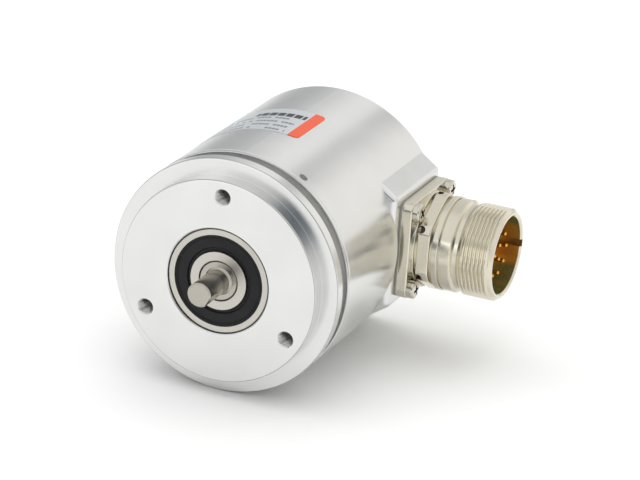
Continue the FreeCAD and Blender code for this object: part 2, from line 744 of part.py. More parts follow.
def make_cable():
    """Flat cable: back from the board header, one large bend, then out to the connector."""
    start = header_y + header_height
    half = cable_thickness / 2
    radius = min((conn_y - start) * 0.8, (socket_x - header_x) * 0.75)
    run_back = block((header_x - half, start, -cable_width / 2),
                     (header_x + half, conn_y - radius, cable_width / 2))
    centre = Vec(header_x + radius, conn_y - radius, -cable_width / 2)
    ring = Part.makeCylinder(radius + half, cable_width, centre, Vec(0, 0, 1))
    ring = ring.cut(Part.makeCylinder(radius - half, cable_width, centre, Vec(0, 0, 1)))
    quarter = block((header_x - 1, conn_y - radius, -cable_width), (header_x + radius, conn_y + 1, cable_width))
    run_out = block((header_x + radius, conn_y - half, -cable_width / 2), (socket_x, conn_y + half, cable_width / 2))
    return merge([run_back, ring.common(quarter), run_out])


def make_board_header():
    """Header on the interface board that the flat cable leaves from."""
    return block((header_x - 2.4, header_y, -8.0), (header_x + 2.4, header_y + header_height, 8.0))


def make_contact_header():
    """Header on the contact board that the flat cable reaches."""
    return block((socket_x, conn_y - 2.0, -6.9), (contact_board_x, conn_y + 2.0, 6.9))


def make_board_link():
    """Pin strip that joins the sensor board and the interface board."""
    return block((-10.0, board_y + board_thickness, board_pitch - 4.0), (10.0, board2_y, board_pitch - 1.0))


# ---------------------------------------------------------------- write the nodes
os.makedirs("parts", exist_ok=True)

save("flange", make_flange())
save("housing", make_housing())
save("housing_oring", make_housing_oring())
save("label", make_label())

save("front_bearing_outer_ring", outer_ring(front_bearing, front_y))
save("rear_bearing_outer_ring", outer_ring(rear_bearing, rear_bearing_y))
save("front_bearing_inner_ring", inner_ring(front_bearing, front_y))
save("rear_bearing_inner_ring", inner_ring(rear_bearing, rear_bearing_y))
for place, seal in zip(("front", "back"), seals(front_bearing, front_y)):
    save("front_bearing_" + place + "_seal", seal)
for place, seal in zip(("front", "back"), seals(rear_bearing, rear_bearing_y)):
    save("rear_bearing_" + place + "_seal", seal)
save("front_bearing_balls", balls(front_bearing, front_mid))
save("rear_bearing_balls", balls(rear_bearing, rear_mid))
save("front_bearing_cage", cage(front_bearing, front_mid))
save("rear_bearing_cage", cage(rear_bearing, rear_mid))
save("preload_wave_washer", make_wave_washer())
save("bearing_circlip", snap_ring(rear_bearing["outer"] + 0.4, rear_bearing["outer"] - 1.2, clip_y,
                                  24.0, 1.3, rear_bearing["outer"] - 1.6))

save("shaft", make_shaft())
save("inner_ring_spacer", tube_y(journal_r + 1.8, journal_r + slip, front_end, rear_bearing_y))
save("shaft_circlip", snap_ring(journal_r + 1.5, journal_r - 0.2, shaft_clip_y, 40.0, 1.1, journal_r + 1.6))
save("disc_hub", make_disc_hub())
save("code_disc", tube_y(disc_r, hub_nose_r, disc_y, disc_back))
save("disc_clamp_ring", tube_y(hub_flange_r, hub_nose_r, disc_back, clamp_back))
save("hub_screw", make_hub_screw())

save("lamp_holder", make_lamp_holder())
save("lamp_holder_screws", make_lamp_screws())
save("infrared_lamp", make_lamp())
save("lamp_lens", make_lamp_lens())
save("reticle", chip_box(reticle_y, chip_y, 8.0, 6.0, track_r))
save("opto_chip", chip_box(chip_y, board_y, 9.0, 8.0, track_r))
save("sensor_board", make_board(board_y, [cyl_y(3.0, board_y - 1, board_y + 3)]))
save("sensor_board_standoffs", make_standoffs(pocket_floor, board_y, pocket_floor - stud_length + 0.3))
save("interface_board_standoffs", make_standoffs(board_y + board_thickness, board2_y, board_y - 3.5))
save("interface_board", make_board(board2_y, []))
save("interface_board_screws", make_board_screws(board2_y + board_thickness))
save("signal_processor", [chip_box(header_y, header_y + 1.2, 9.0, 9.0, 14.5, -5.0)])
save("line_driver", [chip_box(header_y, header_y + 1.5, 10.0, 4.0, -13.5, -5.0)])
save("voltage_regulator", [chip_box(header_y, header_y + 2.2, 6.5, 6.5, 0.0, -14.0)])
save("smoothing_capacitors", [cyl_y(2.5, header_y, header_y + 5.4, -12.0, 12.5),
                              cyl_y(2.5, header_y, header_y + 5.4, -14.0, -8.5)])
save("board_link", make_board_link())
save("board_header", make_board_header())
save("flat_cable", make_cable())
save("contact_header", make_contact_header())
save("contact_board", make_contact_board())

save("connector_gasket", make_gasket())
save("connector_shell", make_connector_shell())
save("connector_screws", make_plate_screws())
save("connector_insulator", make_insulator())
save("contact_pins", make_contacts())
save("insulator_oring", make_insert_oring())
save("insulator_lock_ring", make_lock_ring())
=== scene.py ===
# %% [markdown]
# # A shaft encoder with a clamping flange
# A shaft encoder turns the angle of a shaft into electrical pulses. This one has a turned
# aluminium flange, a drawn aluminium housing and a radial connector of nickel plated brass.
# The measured solids come first, as a fixed frame: every finish and every finer piece is laid on it.

# %% Load the frame
import math

import bmesh
import bpy
import numpy as np
from mathutils import Matrix, Vector


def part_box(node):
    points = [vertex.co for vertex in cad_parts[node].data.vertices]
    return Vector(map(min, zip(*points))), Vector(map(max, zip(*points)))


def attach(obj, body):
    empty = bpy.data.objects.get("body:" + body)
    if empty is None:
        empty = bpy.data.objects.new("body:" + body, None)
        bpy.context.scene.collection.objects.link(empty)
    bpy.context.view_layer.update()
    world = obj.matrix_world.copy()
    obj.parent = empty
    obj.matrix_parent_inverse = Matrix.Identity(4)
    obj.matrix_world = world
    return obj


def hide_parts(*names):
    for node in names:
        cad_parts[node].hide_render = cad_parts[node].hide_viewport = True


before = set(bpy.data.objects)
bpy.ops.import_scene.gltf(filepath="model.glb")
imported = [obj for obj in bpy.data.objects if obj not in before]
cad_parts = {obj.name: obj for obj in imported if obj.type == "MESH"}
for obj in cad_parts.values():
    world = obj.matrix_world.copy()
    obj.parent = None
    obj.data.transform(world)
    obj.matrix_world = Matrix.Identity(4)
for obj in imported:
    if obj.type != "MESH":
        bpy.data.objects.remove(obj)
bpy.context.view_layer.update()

MM = 0.001
print("nodes in the frame:", len(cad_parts))

# %% [markdown]
# ## Stations along the two axes
# Everything on this object is turned about the shaft, along Y, or about the connector, along X.
# The stations are read from the boxes of the solids, so a new piece lands where the old one was.

# %% Read the stations
def span(node, axis):
    """Lowest and highest coordinate of a node along one axis, in millimetres."""
    low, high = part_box(node)
    return low[axis] / MM, high[axis] / MM


body_r = span("flange", 0)[1]
conn_y = sum(span("connector_shell", 1)) / 2
conn_back, conn_end = span("connector_shell", 0)
screw_head_height = 1.9
plate_front = span("connector_screws", 0)[1] - screw_head_height
plate_back = span("connector_gasket", 0)[1]
plate_half = (span("connector_shell", 1)[1] - span("connector_shell", 1)[0]) / 2
print("body radius", round(body_r, 2), "connector axis at Y", round(conn_y, 2))
print("plate from X", round(plate_back, 2), "to", round(plate_front, 2), "mouth at", round(conn_end, 2))

# %% [markdown]
# ## The camera
# A long lens from well in front, a little above and to the right of the shaft. A long lens keeps
# the round flange round, which is how catalogue pictures of such parts are taken.

# %% Place the camera
camera_azimuth = math.radians(22.28)
camera_elevation = math.radians(21.33)
camera_roll = math.radians(4.22)
camera_distance = 0.7953
camera_aim = Vector((19.9, 12.7, 10.7)) * MM

ahead = Vector((-math.sin(camera_azimuth) * math.cos(camera_elevation),
                math.cos(camera_azimuth) * math.cos(camera_elevation), -math.sin(camera_elevation)))
level = Vector((math.cos(camera_azimuth), math.sin(camera_azimuth), 0.0))
above = level.cross(ahead)
right = level * math.cos(camera_roll) + above * math.sin(camera_roll)
up = above * math.cos(camera_roll) - level * math.sin(camera_roll)
camera_data = bpy.data.cameras.new("studio_camera")
camera_data.lens = 191.55
camera_data.sensor_width = 36.0
camera_data.clip_start = 0.05
camera_data.clip_end = 20.0
camera = bpy.data.objects.new("studio_camera", camera_data)
turned = Matrix((right, up, -ahead)).transposed().to_4x4()
camera.matrix_world = Matrix.Translation(camera_aim - ahead * camera_distance) @ turned
bpy.context.collection.objects.link(camera)
bpy.context.scene.camera = camera
print("camera stands at", [round(c, 3) for c in camera.matrix_world.translation])

# %% [markdown]
# ## Two small tools for finishes
# Colours are written as sRGB hex, the way a colour picker shows them, and Blender works in linear
# light, so one function converts them. A second one adds a node and fills or links its sockets.

# %% Colour and node helpers
def linear(colour):
    """Linear RGBA of an sRGB hex colour: c / 12.92 when dark, else ((c + 0.055) / 1.055) ** 2.4."""
    c = np.array([int(colour[i:i + 2], 16) for i in (1, 3, 5)]) / 255.0
    c = np.where(c <= 0.04045, c / 12.92, ((c + 0.055) / 1.055) ** 2.4)
    return (float(c[0]), float(c[1]), float(c[2]), 1.0)


def add(tree, kind, inputs=None, **settings):
    """Adds one node: settings are its properties, inputs its sockets, either a value or a link."""
    node = tree.nodes.new("ShaderNode" + kind)
    for key, value in settings.items():
        setattr(node, key, value)
    for key, value in (inputs or {}).items():
        if isinstance(value, bpy.types.NodeSocket):
            tree.links.new(value, node.inputs[key])
        else:
            node.inputs[key].default_value = value
    return node


def start(name, colour, metallic, roughness, **sockets):
    """A new material with one Principled shader whose constants are set on its own sockets."""
    material = bpy.data.materials.new(name)
    material.use_nodes = True
    shader = material.node_tree.nodes["Principled BSDF"]
    shader.inputs["Base Color"].default_value = linear(colour)
    shader.inputs["Metallic"].default_value = metallic
    shader.inputs["Roughness"].default_value = roughness
    for key, value in sockets.items():
        shader.inputs[key.replace("_", " ")].default_value = value
    return material, material.node_tree, shader


def bump(tree, shader, height, distance):
    """Feeds a height, from 0 to 1 and worth distance millimetres, to the shader's normal."""
    node = add(tree, "Bump", {"Height": height, "Distance": distance * MM, "Strength": 1.0})
    tree.links.new(node.outputs["Normal"], shader.inputs["Normal"])


def darker(colour, share):
    """Hex colour with each channel multiplied by share."""
    return "#%02x%02x%02x" % tuple(int(int(colour[i:i + 2], 16) * share) for i in (1, 3, 5))


def scatter(tree, low, high, fac):
    """Colour between two hex colours: low where fac is 0, high where it is 1."""
    mix = add(tree, "Mix", {"Factor": fac, 6: linear(low), 7: linear(high)}, data_type="RGBA")
    return mix.outputs[2]


def dress(material, *names):
    """Puts a finish on all material slots of the named nodes, and returns it."""
    for name in names:
        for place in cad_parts[name].material_slots:
            place.material = material
    return material


print("white in linear light:", linear("#ffffff"))

# %% [markdown]
# ## Turned metal
# A lathe leaves rings. Seen close they are grooves a few hundredths of a millimetre apart, far too
# fine to show here, so they are drawn as coarse as they can be seen. One number, the radius
# plus the place along the axis, crosses the rings both on a flat face and on a cylinder, so a
# one-dimensional noise of that number gives rings everywhere. Grooves also smear a reflection
# across themselves, which is the anisotropy that makes the bright fans on a turned face.

# %% The finish for everything cut on a lathe
def turned_metal(name, colour, roughness, pitch, about="Y", depth=0.002, spread=0.06, smear=0.5):
    """Rings round the shaft (about Y) or the connector (about X), pitch and depth in mm.

    height = noise((distance from the axis + place along it) / pitch)
    """
    material, tree, shader = start(name, colour, 1.0, roughness, Anisotropic=smear)
    centre = (0.0, 0.0, 0.0) if about == "Y" else (0.0, -conn_y * MM, 0.0)
    across = (1.0, 0.0, 1.0) if about == "Y" else (0.0, 1.0, 1.0)
    along = (0.0, 1.0, 0.0) if about == "Y" else (1.0, 0.0, 0.0)
    place = add(tree, "TexCoord").outputs["Object"]
    place = add(tree, "Mapping", {"Vector": place, "Location": centre}).outputs[0]
    flat = add(tree, "VectorMath", {0: place, 1: across}, operation="MULTIPLY").outputs[0]
    radius = add(tree, "VectorMath", {0: flat}, operation="LENGTH").outputs["Value"]
    run = add(tree, "VectorMath", {0: place, 1: along}, operation="DOT_PRODUCT").outputs["Value"]
    total = add(tree, "Math", {0: radius, 1: run}, operation="ADD").outputs[0]
    rings = add(tree, "Math", {0: total, 1: pitch * MM}, operation="DIVIDE").outputs[0]
    grooves = add(tree, "TexNoise", {"W": rings, "Scale": 1.0, "Detail": 2.0, "Roughness": 0.6},
                  noise_dimensions="1D").outputs[0]
    cloud = add(tree, "TexNoise", {"Vector": place, "Scale": 90.0, "Detail": 3.0}).outputs[0]
    both = add(tree, "Math", {0: grooves, 1: cloud}, operation="ADD").outputs[0]
    rough = add(tree, "MapRange", {"Value": both, "From Min": 0.7, "From Max": 1.3,
                                   "To Min": roughness - spread, "To Max": roughness + spread}).outputs[0]
    tree.links.new(rough, shader.inputs["Roughness"])
    tree.links.new(scatter(tree, darker(colour, 0.94), colour, cloud), shader.inputs["Base Color"])
    tangent = add(tree, "Tangent", direction_type="RADIAL", axis=about)
    tree.links.new(tangent.outputs[0], shader.inputs["Tangent"])
    shader.inputs["Anisotropic Rotation"].default_value = 0.25
    bump(tree, shader, grooves, depth)
    return material


# the flange's broken edges and tapped holes: the same metal, rougher and painted darker as shade, so edges
# draw a thin grey line and the holes read shaded
edge_painted_shade_finish = turned_metal("deburred_edge_painted_shade", "#bcbcbb", 0.34, 0.3, depth=0.001, smear=0.2)
tap_painted_shade_finish = turned_metal("tapped_thread_painted_shade", "#c4c3bf", 0.24, 0.3, depth=0.001, smear=0.2)
# the flange: bright, fine turned aluminium with a faint fan of light across its face
flange_finish = dress(turned_metal("fine_turned_aluminium", "#e5e5e4", 0.23, 0.22, depth=0.0007,
                                   spread=0.03), "flange")
# the housing: the same alloy with a satin anodised skin, which draws reflections out along its length
dress(turned_metal("satin_anodised_aluminium", "#e6e6e5", 0.24, 0.35, depth=0.0006, spread=0.03,
                   smear=0.75), "housing")
# the shaft: stainless steel, ground between centres, a little warmer and darker than the aluminium
dress(turned_metal("ground_stainless_steel", "#b8b3aa", 0.24, 0.3, depth=0.0003, spread=0.03,
                   smear=0.3), "shaft")
# bearing rings and balls: ground chromium steel with a matt face that stays even from all sides
dress(turned_metal("ground_bearing_steel", "#cbc7c0", 0.33, 0.15, depth=0.0012, smear=0.3),
      "front_bearing_outer_ring", "front_bearing_inner_ring", "rear_bearing_outer_ring",
      "rear_bearing_inner_ring", "front_bearing_balls", "rear_bearing_balls", "inner_ring_spacer")
# the disc hub and its clamp ring: aluminium turned more coarsely, as hidden faces are
dress(turned_metal("turned_hub_aluminium", "#dcdddd", 0.3, 0.25, depth=0.002), "disc_hub",
      "disc_clamp_ring")
# the connector: bright nickel over brass, yellower than the aluminium and with sharper reflections
nickel_finish = dress(turned_metal("bright_nickel_plate", "#e1dbca", 0.18, 0.20, about="X",
                                   depth=0.0010, spread=0.05, smear=0.25), "connector_shell")
print("turned finishes:", len(bpy.data.materials))

# %% [markdown]
# ## The other finishes
# Each starts from what the real surface is: moulded rubber has a fine matt grain, a circuit board
# shows traces under its solder mask, a gold contact is smooth with a faint cloudiness.

# %% Rubber, plastic and small metal parts
def moulded(name, colour, roughness, grain, depth=0.01, metallic=0.0, **sockets):
    """A moulded or stamped skin: grain (mm) sets the size of its texture, depth (mm) its height."""
    material, tree, shader = start(name, colour, metallic, roughness, **sockets)
    place = add(tree, "TexCoord").outputs["Object"]
    fine = add(tree, "TexNoise", {"Vector": place, "Scale": 1.0 / (grain * MM), "Detail": 3.0}).outputs[0]
    broad = add(tree, "TexNoise", {"Vector": place, "Scale": 0.12 / (grain * MM), "Detail": 2.0}).outputs[0]
    rough = add(tree, "MapRange", {"Value": broad, "From Min": 0.3, "From Max": 0.7,
                                   "To Min": roughness * 0.85, "To Max": roughness * 1.15}).outputs[0]
    tree.links.new(rough, shader.inputs["Roughness"])
    tree.links.new(scatter(tree, darker(colour, 0.88), colour, broad), shader.inputs["Base Color"])
    bump(tree, shader, fine, depth)
    return material


# nitrile and pressed rubber: nearly black and matt, which frames the bright rings
seal_finish = dress(moulded("moulded_nitrile_rubber", "#0c0c11", 0.55, 0.35, 0.005,
                            Specular_IOR_Level=0.35), "front_bearing_front_seal",
                    "front_bearing_back_seal", "rear_bearing_front_seal", "rear_bearing_back_seal")
rubber_finish = dress(moulded("pressed_black_rubber", "#1d1d1f", 0.55, 0.3, 0.008), "housing_oring",
                      "insulator_oring")
# springs are blued and darker, cages are pressed from plain strip, screws are zinc plated and bright
dress(moulded("blued_spring_steel", "#8d8f92", 0.3, 0.4, 0.003, metallic=1.0), "preload_wave_washer",
      "bearing_circlip", "shaft_circlip", "insulator_lock_ring")
dress(moulded("pressed_cage_steel", "#a9a7a1", 0.35, 0.4, 0.004, metallic=1.0), "front_bearing_cage",
      "rear_bearing_cage")
screw_finish = dress(moulded("bright_zinc_plated_steel", "#ddd8cb", 0.14, 0.5, 0.002, metallic=1.0),
                     "connector_screws", "hub_screw", "lamp_holder_screws", "interface_board_screws")
# gold contacts glow warm in the dark mouth, brass standoffs are duller, cans are bare aluminium
dress(moulded("hard_gold_plate", "#f2b658", 0.2, 0.4, 0.002, metallic=1.0), "contact_pins")
dress(moulded("turned_brass", "#c9a558", 0.26, 0.4, 0.003, metallic=1.0), "sensor_board_standoffs",
      "interface_board_standoffs")
dress(moulded("drawn_capacitor_can", "#b9bcc0", 0.3, 0.5, 0.003, metallic=1.0), "smoothing_capacitors")
# plastics: a glossy amber contact carrier, a grainy black lamp holder, matt chips, cream headers
dress(moulded("amber_contact_carrier_plastic", "#e0aa4c", 0.3, 0.3, 0.006), "connector_insulator")
dress(moulded("glass_filled_black_plastic", "#26262a", 0.5, 0.2, 0.012), "lamp_holder")
dress(moulded("moulded_epoxy_package", "#1b1b1d", 0.55, 0.12, 0.01), "signal_processor", "line_driver",
      "voltage_regulator", "opto_chip", "infrared_lamp")
dress(moulded("connector_body_plastic", "#e4ddc8", 0.45, 0.3, 0.006), "board_link", "board_header",
      "contact_header")
# silicone sheet: a soft grey line between plate and housing
gasket_finish = dress(moulded("grey_silicone_sheet", "#a3a199", 0.5, 0.3, 0.01), "connector_gasket")
print("finishes so far:", len(bpy.data.materials))

# %% [markdown]
# ## Boards, glass and the flat cable
# The solder mask of a board is dark green and glossy, with slightly raised copper traces below it.
# A cell pattern measured with the Manhattan distance gives the right-angled look of traces.
# The code disc is glass with fine chrome bars, one for each step of the encoder.

# %% Circuit board, code disc, lens and cable
def circuit_board():
    """Green mask, lighter where a trace lies under it: |edge distance of square cells| < width."""
    material, tree, shader = start("green_solder_mask", "#0f5a34", 0.0, 0.3)
    place = add(tree, "TexCoord").outputs["Object"]
    cells = add(tree, "TexVoronoi", {"Vector": place, "Scale": 320.0, "Randomness": 0.85},
                feature="F1", distance="MANHATTAN").outputs["Distance"]
    lanes = add(tree, "Math", {0: cells, 1: 5.0}, operation="MULTIPLY").outputs[0]
    lanes = add(tree, "Math", {0: lanes}, operation="FRACT").outputs[0]
    traces = add(tree, "Math", {0: lanes, 1: 0.6}, operation="GREATER_THAN").outputs[0]
    tree.links.new(scatter(tree, "#0f5a34", "#2d8a53", traces), shader.inputs["Base Color"])
    bump(tree, shader, traces, 0.03)
    return material


def code_glass():
    """Chrome bars on glass: bars = sin(90 * angle) > 0 between two radii, clear elsewhere."""
    material, tree, shader = start("chrome_on_glass", "#e9f2f2", 0.0, 0.08, IOR=1.5)
    place = add(tree, "TexCoord").outputs["Object"]
    axes = add(tree, "SeparateXYZ", {0: place}).outputs
    angle = add(tree, "Math", {0: axes["Z"], 1: axes["X"]}, operation="ARCTAN2").outputs[0]
    wave = add(tree, "Math", {0: angle, 1: 90.0}, operation="MULTIPLY").outputs[0]
    wave = add(tree, "Math", {0: wave}, operation="SINE").outputs[0]
    flat = add(tree, "VectorMath", {0: place, 1: (1.0, 0.0, 1.0)}, operation="MULTIPLY").outputs[0]
    radius = add(tree, "VectorMath", {0: flat}, operation="LENGTH").outputs["Value"]
    inside = add(tree, "Math", {0: radius, 1: 13.8 * MM, 2: 1.6 * MM}, operation="COMPARE").outputs[0]
    bars = add(tree, "Math", {0: wave, 1: 0.0}, operation="GREATER_THAN").outputs[0]
    bars = add(tree, "Math", {0: bars, 1: inside}, operation="MULTIPLY").outputs[0]
    tree.links.new(scatter(tree, "#e9f2f2", "#5a5f66", bars), shader.inputs["Base Color"])
    tree.links.new(bars, shader.inputs["Metallic"])
    bump(tree, shader, bars, 0.005)
    return material


def ribbed_cable():
    """Grey flat cable: round ribs across Z, one for each of its 1 mm conductors."""
    material, tree, shader = start("ribbed_grey_vinyl", "#9c9fa2", 0.0, 0.5)
    place = add(tree, "TexCoord").outputs["Object"]
    ribs = add(tree, "TexWave", {"Vector": place, "Scale": math.pi / 10.0 / MM},
               wave_type="BANDS", bands_direction="Z").outputs["Fac"]
    tree.links.new(scatter(tree, "#85888b", "#a6a9ac", ribs), shader.inputs["Base Color"])
    bump(tree, shader, ribs, 0.1)
    return material


dress(circuit_board(), "sensor_board", "interface_board", "contact_board")
dress(code_glass(), "code_disc", "reticle")
dress(ribbed_cable(), "flat_cable")
# the lens: clear plastic, pale and very smooth
dress(moulded("clear_moulded_lens", "#cfe0e6", 0.1, 0.6, 0.002, IOR=1.5), "lamp_lens")
print("all finishes:", sorted(m.name for m in bpy.data.materials if m.users))

# %% [markdown]
# ## Surfaces from profiles
# A turned piece is a profile carried round an axis. The profile is a list of corners, each with
# the radius of its edge: real edges are broken, never sharp, and that small radius catches the
# thin line of light that makes metal look like metal.

# %% Profile and revolve
def rounded(corners, steps=4, lead=0.05, closed=True):
    """Profile in mm from corners (along, out, edge radius).

    Each corner becomes an arc tangent to both sides, with one point a little way down each side,
    so that smooth shading turns only in the arc and the flats stay flat.
    """
    points = []
    count = len(corners)
    for i, (along, out, radius) in enumerate(corners):
        here = np.array([along, out], float)
        if radius == 0 or (not closed and i in (0, count - 1)):
            points.append(here)
            continue
        u = np.array(corners[i - 1][:2], float) - here
        w = np.array(corners[(i + 1) % count][:2], float) - here
        u /= np.linalg.norm(u)
        w /= np.linalg.norm(w)
        half = math.acos(float(np.clip(u @ w, -1, 1))) / 2
        run = radius / math.tan(half)
        centre = here + (u + w) / np.linalg.norm(u + w) * radius / math.sin(half)
        first, last = here + u * run - centre, here + w * run - centre
        phi = math.pi - 2 * half
        t = np.linspace(0, 1, steps + 1)[:, None]
        arc = centre + (np.sin((1 - t) * phi) * first + np.sin(t * phi) * last) / math.sin(phi)
        points += [here + u * (run + lead), *arc, here + w * (run + lead)]
    return np.array(points)


sharp_edge = math.radians(32.0)


def smooth(mesh):
    """Smooth shading that keeps every edge sharper than sharp_edge."""
    mesh.shade_smooth()
    mesh.set_sharp_from_angle(angle=sharp_edge)


def show(name, mesh, work):
    """Object at the origin from a mesh and the bmesh that fills it."""
    work.to_mesh(mesh)
    work.free()
    smooth(mesh)
    piece = bpy.data.objects.new(name, mesh)
    bpy.context.collection.objects.link(piece)
    return piece


def finish_mesh(name, verts, faces):
    """Object at the origin from vertices in mm: doubles merged, normals outward, sharp edges kept."""
    mesh = bpy.data.meshes.new(name)
    mesh.from_pydata((np.asarray(verts) * MM).tolist(), [], np.asarray(faces).tolist())
    work = bmesh.new()
    work.from_mesh(mesh)
    bmesh.ops.remove_doubles(work, verts=work.verts, dist=1e-7)
    bmesh.ops.recalc_face_normals(work, faces=work.faces)
    return show(name, mesh, work)


def grid_faces(rows, columns, wrap_rows, wrap_columns):
    """Quads of a grid of points, joined to its start in either direction."""
    r = np.arange(rows if wrap_rows else rows - 1)[:, None]
    c = np.arange(columns if wrap_columns else columns - 1)[None, :]
    r2, c2 = (r + 1) % rows, (c + 1) % columns
    quads = [r * columns + c, r * columns + c2, r2 * columns + c2, r2 * columns + c]
    return np.stack(np.broadcast_arrays(*quads), -1).reshape(-1, 4)


def revolve(name, along, out, axis="Y", centre=(0.0, 0.0), closed=True):
    """Surface of revolution whose radius may change with the turn.

    along is one number for each profile point, out is a grid of radii (profile point, angle).
    About Y: (cx + out cos t, along, cz + out sin t). About X: (along, cy + out cos t, cz + out sin t).
    """
    rows, columns = out.shape
    turn = np.arange(columns) * 2 * math.pi / columns
    a = np.broadcast_to(np.asarray(along, float)[:, None], out.shape)
    first, second = centre[0] + out * np.cos(turn), centre[1] + out * np.sin(turn)
    points = np.stack([first, a, second] if axis == "Y" else [a, first, second], -1).reshape(-1, 3)
    return finish_mesh(name, points, grid_faces(rows, columns, closed, True))


def lathe(name, corners, count=192, axis="Y", closed=True):
    """Plain turned piece from profile corners."""
    profile = rounded(corners, closed=closed)
    out = np.repeat(profile[:, 1:2], count, axis=1)
    return revolve(name, profile[:, 0], out, axis, closed=closed)


def carve(piece, tools):
    """Cuts the tools out of a piece, keeps the result as its mesh and removes the tools."""
    for tool in tools:
        step = piece.modifiers.new("cut", "BOOLEAN")
        step.operation = "DIFFERENCE"
        step.solver = "EXACT"
        step.object = tool
    shaped = piece.evaluated_get(bpy.context.evaluated_depsgraph_get())
    mesh = bpy.data.meshes.new_from_object(shaped)
    piece.modifiers.clear()
    piece.data = mesh
    for tool in tools:
        bpy.data.objects.remove(tool)
    smooth(mesh)


def joined(name, pieces):
    """One object from several finished pieces, which are removed."""
    work = bmesh.new()
    for piece in pieces:
        work.from_mesh(piece.data)
        bpy.data.objects.remove(piece)
    return show(name, bpy.data.meshes.new(name), work)


def place_piece(piece, finish, body, slot, *nodes):
    """Dresses a finished piece, lets it ride on its body and stand for the nodes it replaces, if any."""
    piece.data.materials.clear()
    piece.data.materials.append(finish)
    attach(piece, body)
    if nodes:
        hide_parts(*nodes)
    print(piece.name, "has", len(piece.data.polygons), "faces")


def read_mm(items, key="center"):
    """One vector of every face or vertex, in mm, as one array."""
    values = np.empty(len(items) * 3)
    items.foreach_get(key, values)
    return values.reshape(-1, 3) / MM


def second_finish(piece, finish, chosen):
    """Gives the chosen faces another finish, in a material slot of its own."""
    piece.data.materials.append(finish)
    slots = np.zeros(len(piece.data.polygons), dtype=np.int32)
    piece.data.polygons.foreach_get("material_index", slots)
    slots[chosen] = len(piece.data.materials) - 1
    piece.data.polygons.foreach_set("material_index", slots)
    print(finish.name, "on", int(chosen.sum()), "faces of", piece.name)


def thread_wave(phase):
    """Thread form, 0 at the root and 1 at the crest: clip(1.5 * |2 * fraction(phase) - 1| - 0.25)."""
    saw = np.abs((phase % 1.0) * 2 - 1)
    return np.clip(saw * 1.5 - 0.25, 0, 1)


print("profile of a 10 mm washer:", rounded([(0, 3, 0.2), (0, 5, 0.2), (1, 5, 0.2), (1, 3, 0.2)]).shape)

# %% [markdown]
# ## The flange
# One turned piece: the centring collar, the clamping disc with a servo groove behind it, and the
# spigot that goes into the housing. Its three tapped holes get real threads, because light
# catching their crests is what tells a tapped hole from a drilled one. The thread is a surface
# whose radius rises and falls with the turn minus the depth over the pitch.

# %% Turn the flange and tap its holes
collar_r, shoulder_y, disc_back = 25.0, 4.0, 7.0
groove_back, groove_r, joint_y = 10.0, 26.5, 11.0
spigot_r, spigot_end, hub_r = 27.05, 18.5, 17.0
hub_end = span("flange", 1)[1]
seat_r = span("front_bearing_outer_ring", 0)[1]
rear_seat_r = span("rear_bearing_outer_ring", 0)[1]
seat_end = span("front_bearing_outer_ring", 1)[1]
rear_seat = span("rear_bearing_outer_ring", 1)[0]
clip_front = span("bearing_circlip", 1)[0]
oring_front, oring_back, oring_floor_r = 14.7, 16.5, 25.85
pocket_floor, pocket_r = 12.0, 24.35
clip_width, clip_depth, passage_r = 1.05, 0.5, 9.9
clip_back, clip_r = clip_front + clip_width, rear_seat_r + clip_depth

flange = lathe("flange_turned", [
    (0, seat_r + 0.3, 0), (0, collar_r, 0.32), (shoulder_y, collar_r, 0.06), (shoulder_y, body_r, 0.3),
    (disc_back, body_r, 0.3), (disc_back, groove_r, 0.12), (groove_back, groove_r, 0.12),
    (groove_back, body_r, 0.25), (joint_y, body_r, 0.12), (joint_y, spigot_r, 0),
    (oring_front, spigot_r, 0.1), (oring_front, oring_floor_r, 0.1),
    (oring_back, oring_floor_r, 0.1), (oring_back, spigot_r, 0.1),
    (spigot_end, spigot_r, 0.3), (spigot_end, pocket_r, 0.2), (pocket_floor, pocket_r, 0.4),
    (pocket_floor, hub_r, 0.4), (hub_end, hub_r, 0.3), (hub_end, rear_seat_r, 0.2),
    (clip_back, rear_seat_r, 0), (clip_back, clip_r, 0), (clip_front, clip_r, 0),
    (clip_front, rear_seat_r, 0), (rear_seat, rear_seat_r, 0.1), (rear_seat, passage_r, 0.1),
    (seat_end, passage_r, 0.1), (seat_end, seat_r, 0.1), (0.3, seat_r, 0)], count=288)

tap_circle, tap_core, tap_depth, tap_pitch, tap_length, sink_r = 21.0, 1.65, 0.3, 0.7, 8.0, 2.1


def tapped_hole(angle):
    """Cutter of an M4 hole: out = core + depth * wave(turn - y / pitch), opened by the countersink."""
    steps = np.arange(-0.2, tap_length, tap_pitch / 10)
    depth = np.concatenate([[-1.0, -1.0], steps, [tap_length, tap_length + 1.0]])
    turn = np.linspace(0, 1, 48, endpoint=False)
    phase = turn[None, :] - depth[:, None] / tap_pitch
    out = tap_core + tap_depth * thread_wave(phase)
    out = np.maximum(out, sink_r - np.clip(depth, 0, None)[:, None])
    out[0] = out[-1] = 0.0
    out[-2] = tap_core
    centre = (tap_circle * math.cos(angle), tap_circle * math.sin(angle))
    return revolve("tap_cutter", depth, out, "Y", centre, closed=False)


def round_cutter(radius, first, last, a, b, axis="X", count=40):
    """Plain round cutter along X or Y, at a and b on the other two axes."""
    rim = np.repeat(np.array([[0.0], [radius], [radius], [0.0]]), count, axis=1)
    return revolve("cutter", [first, first, last, last], rim, axis, (a, b), closed=False)


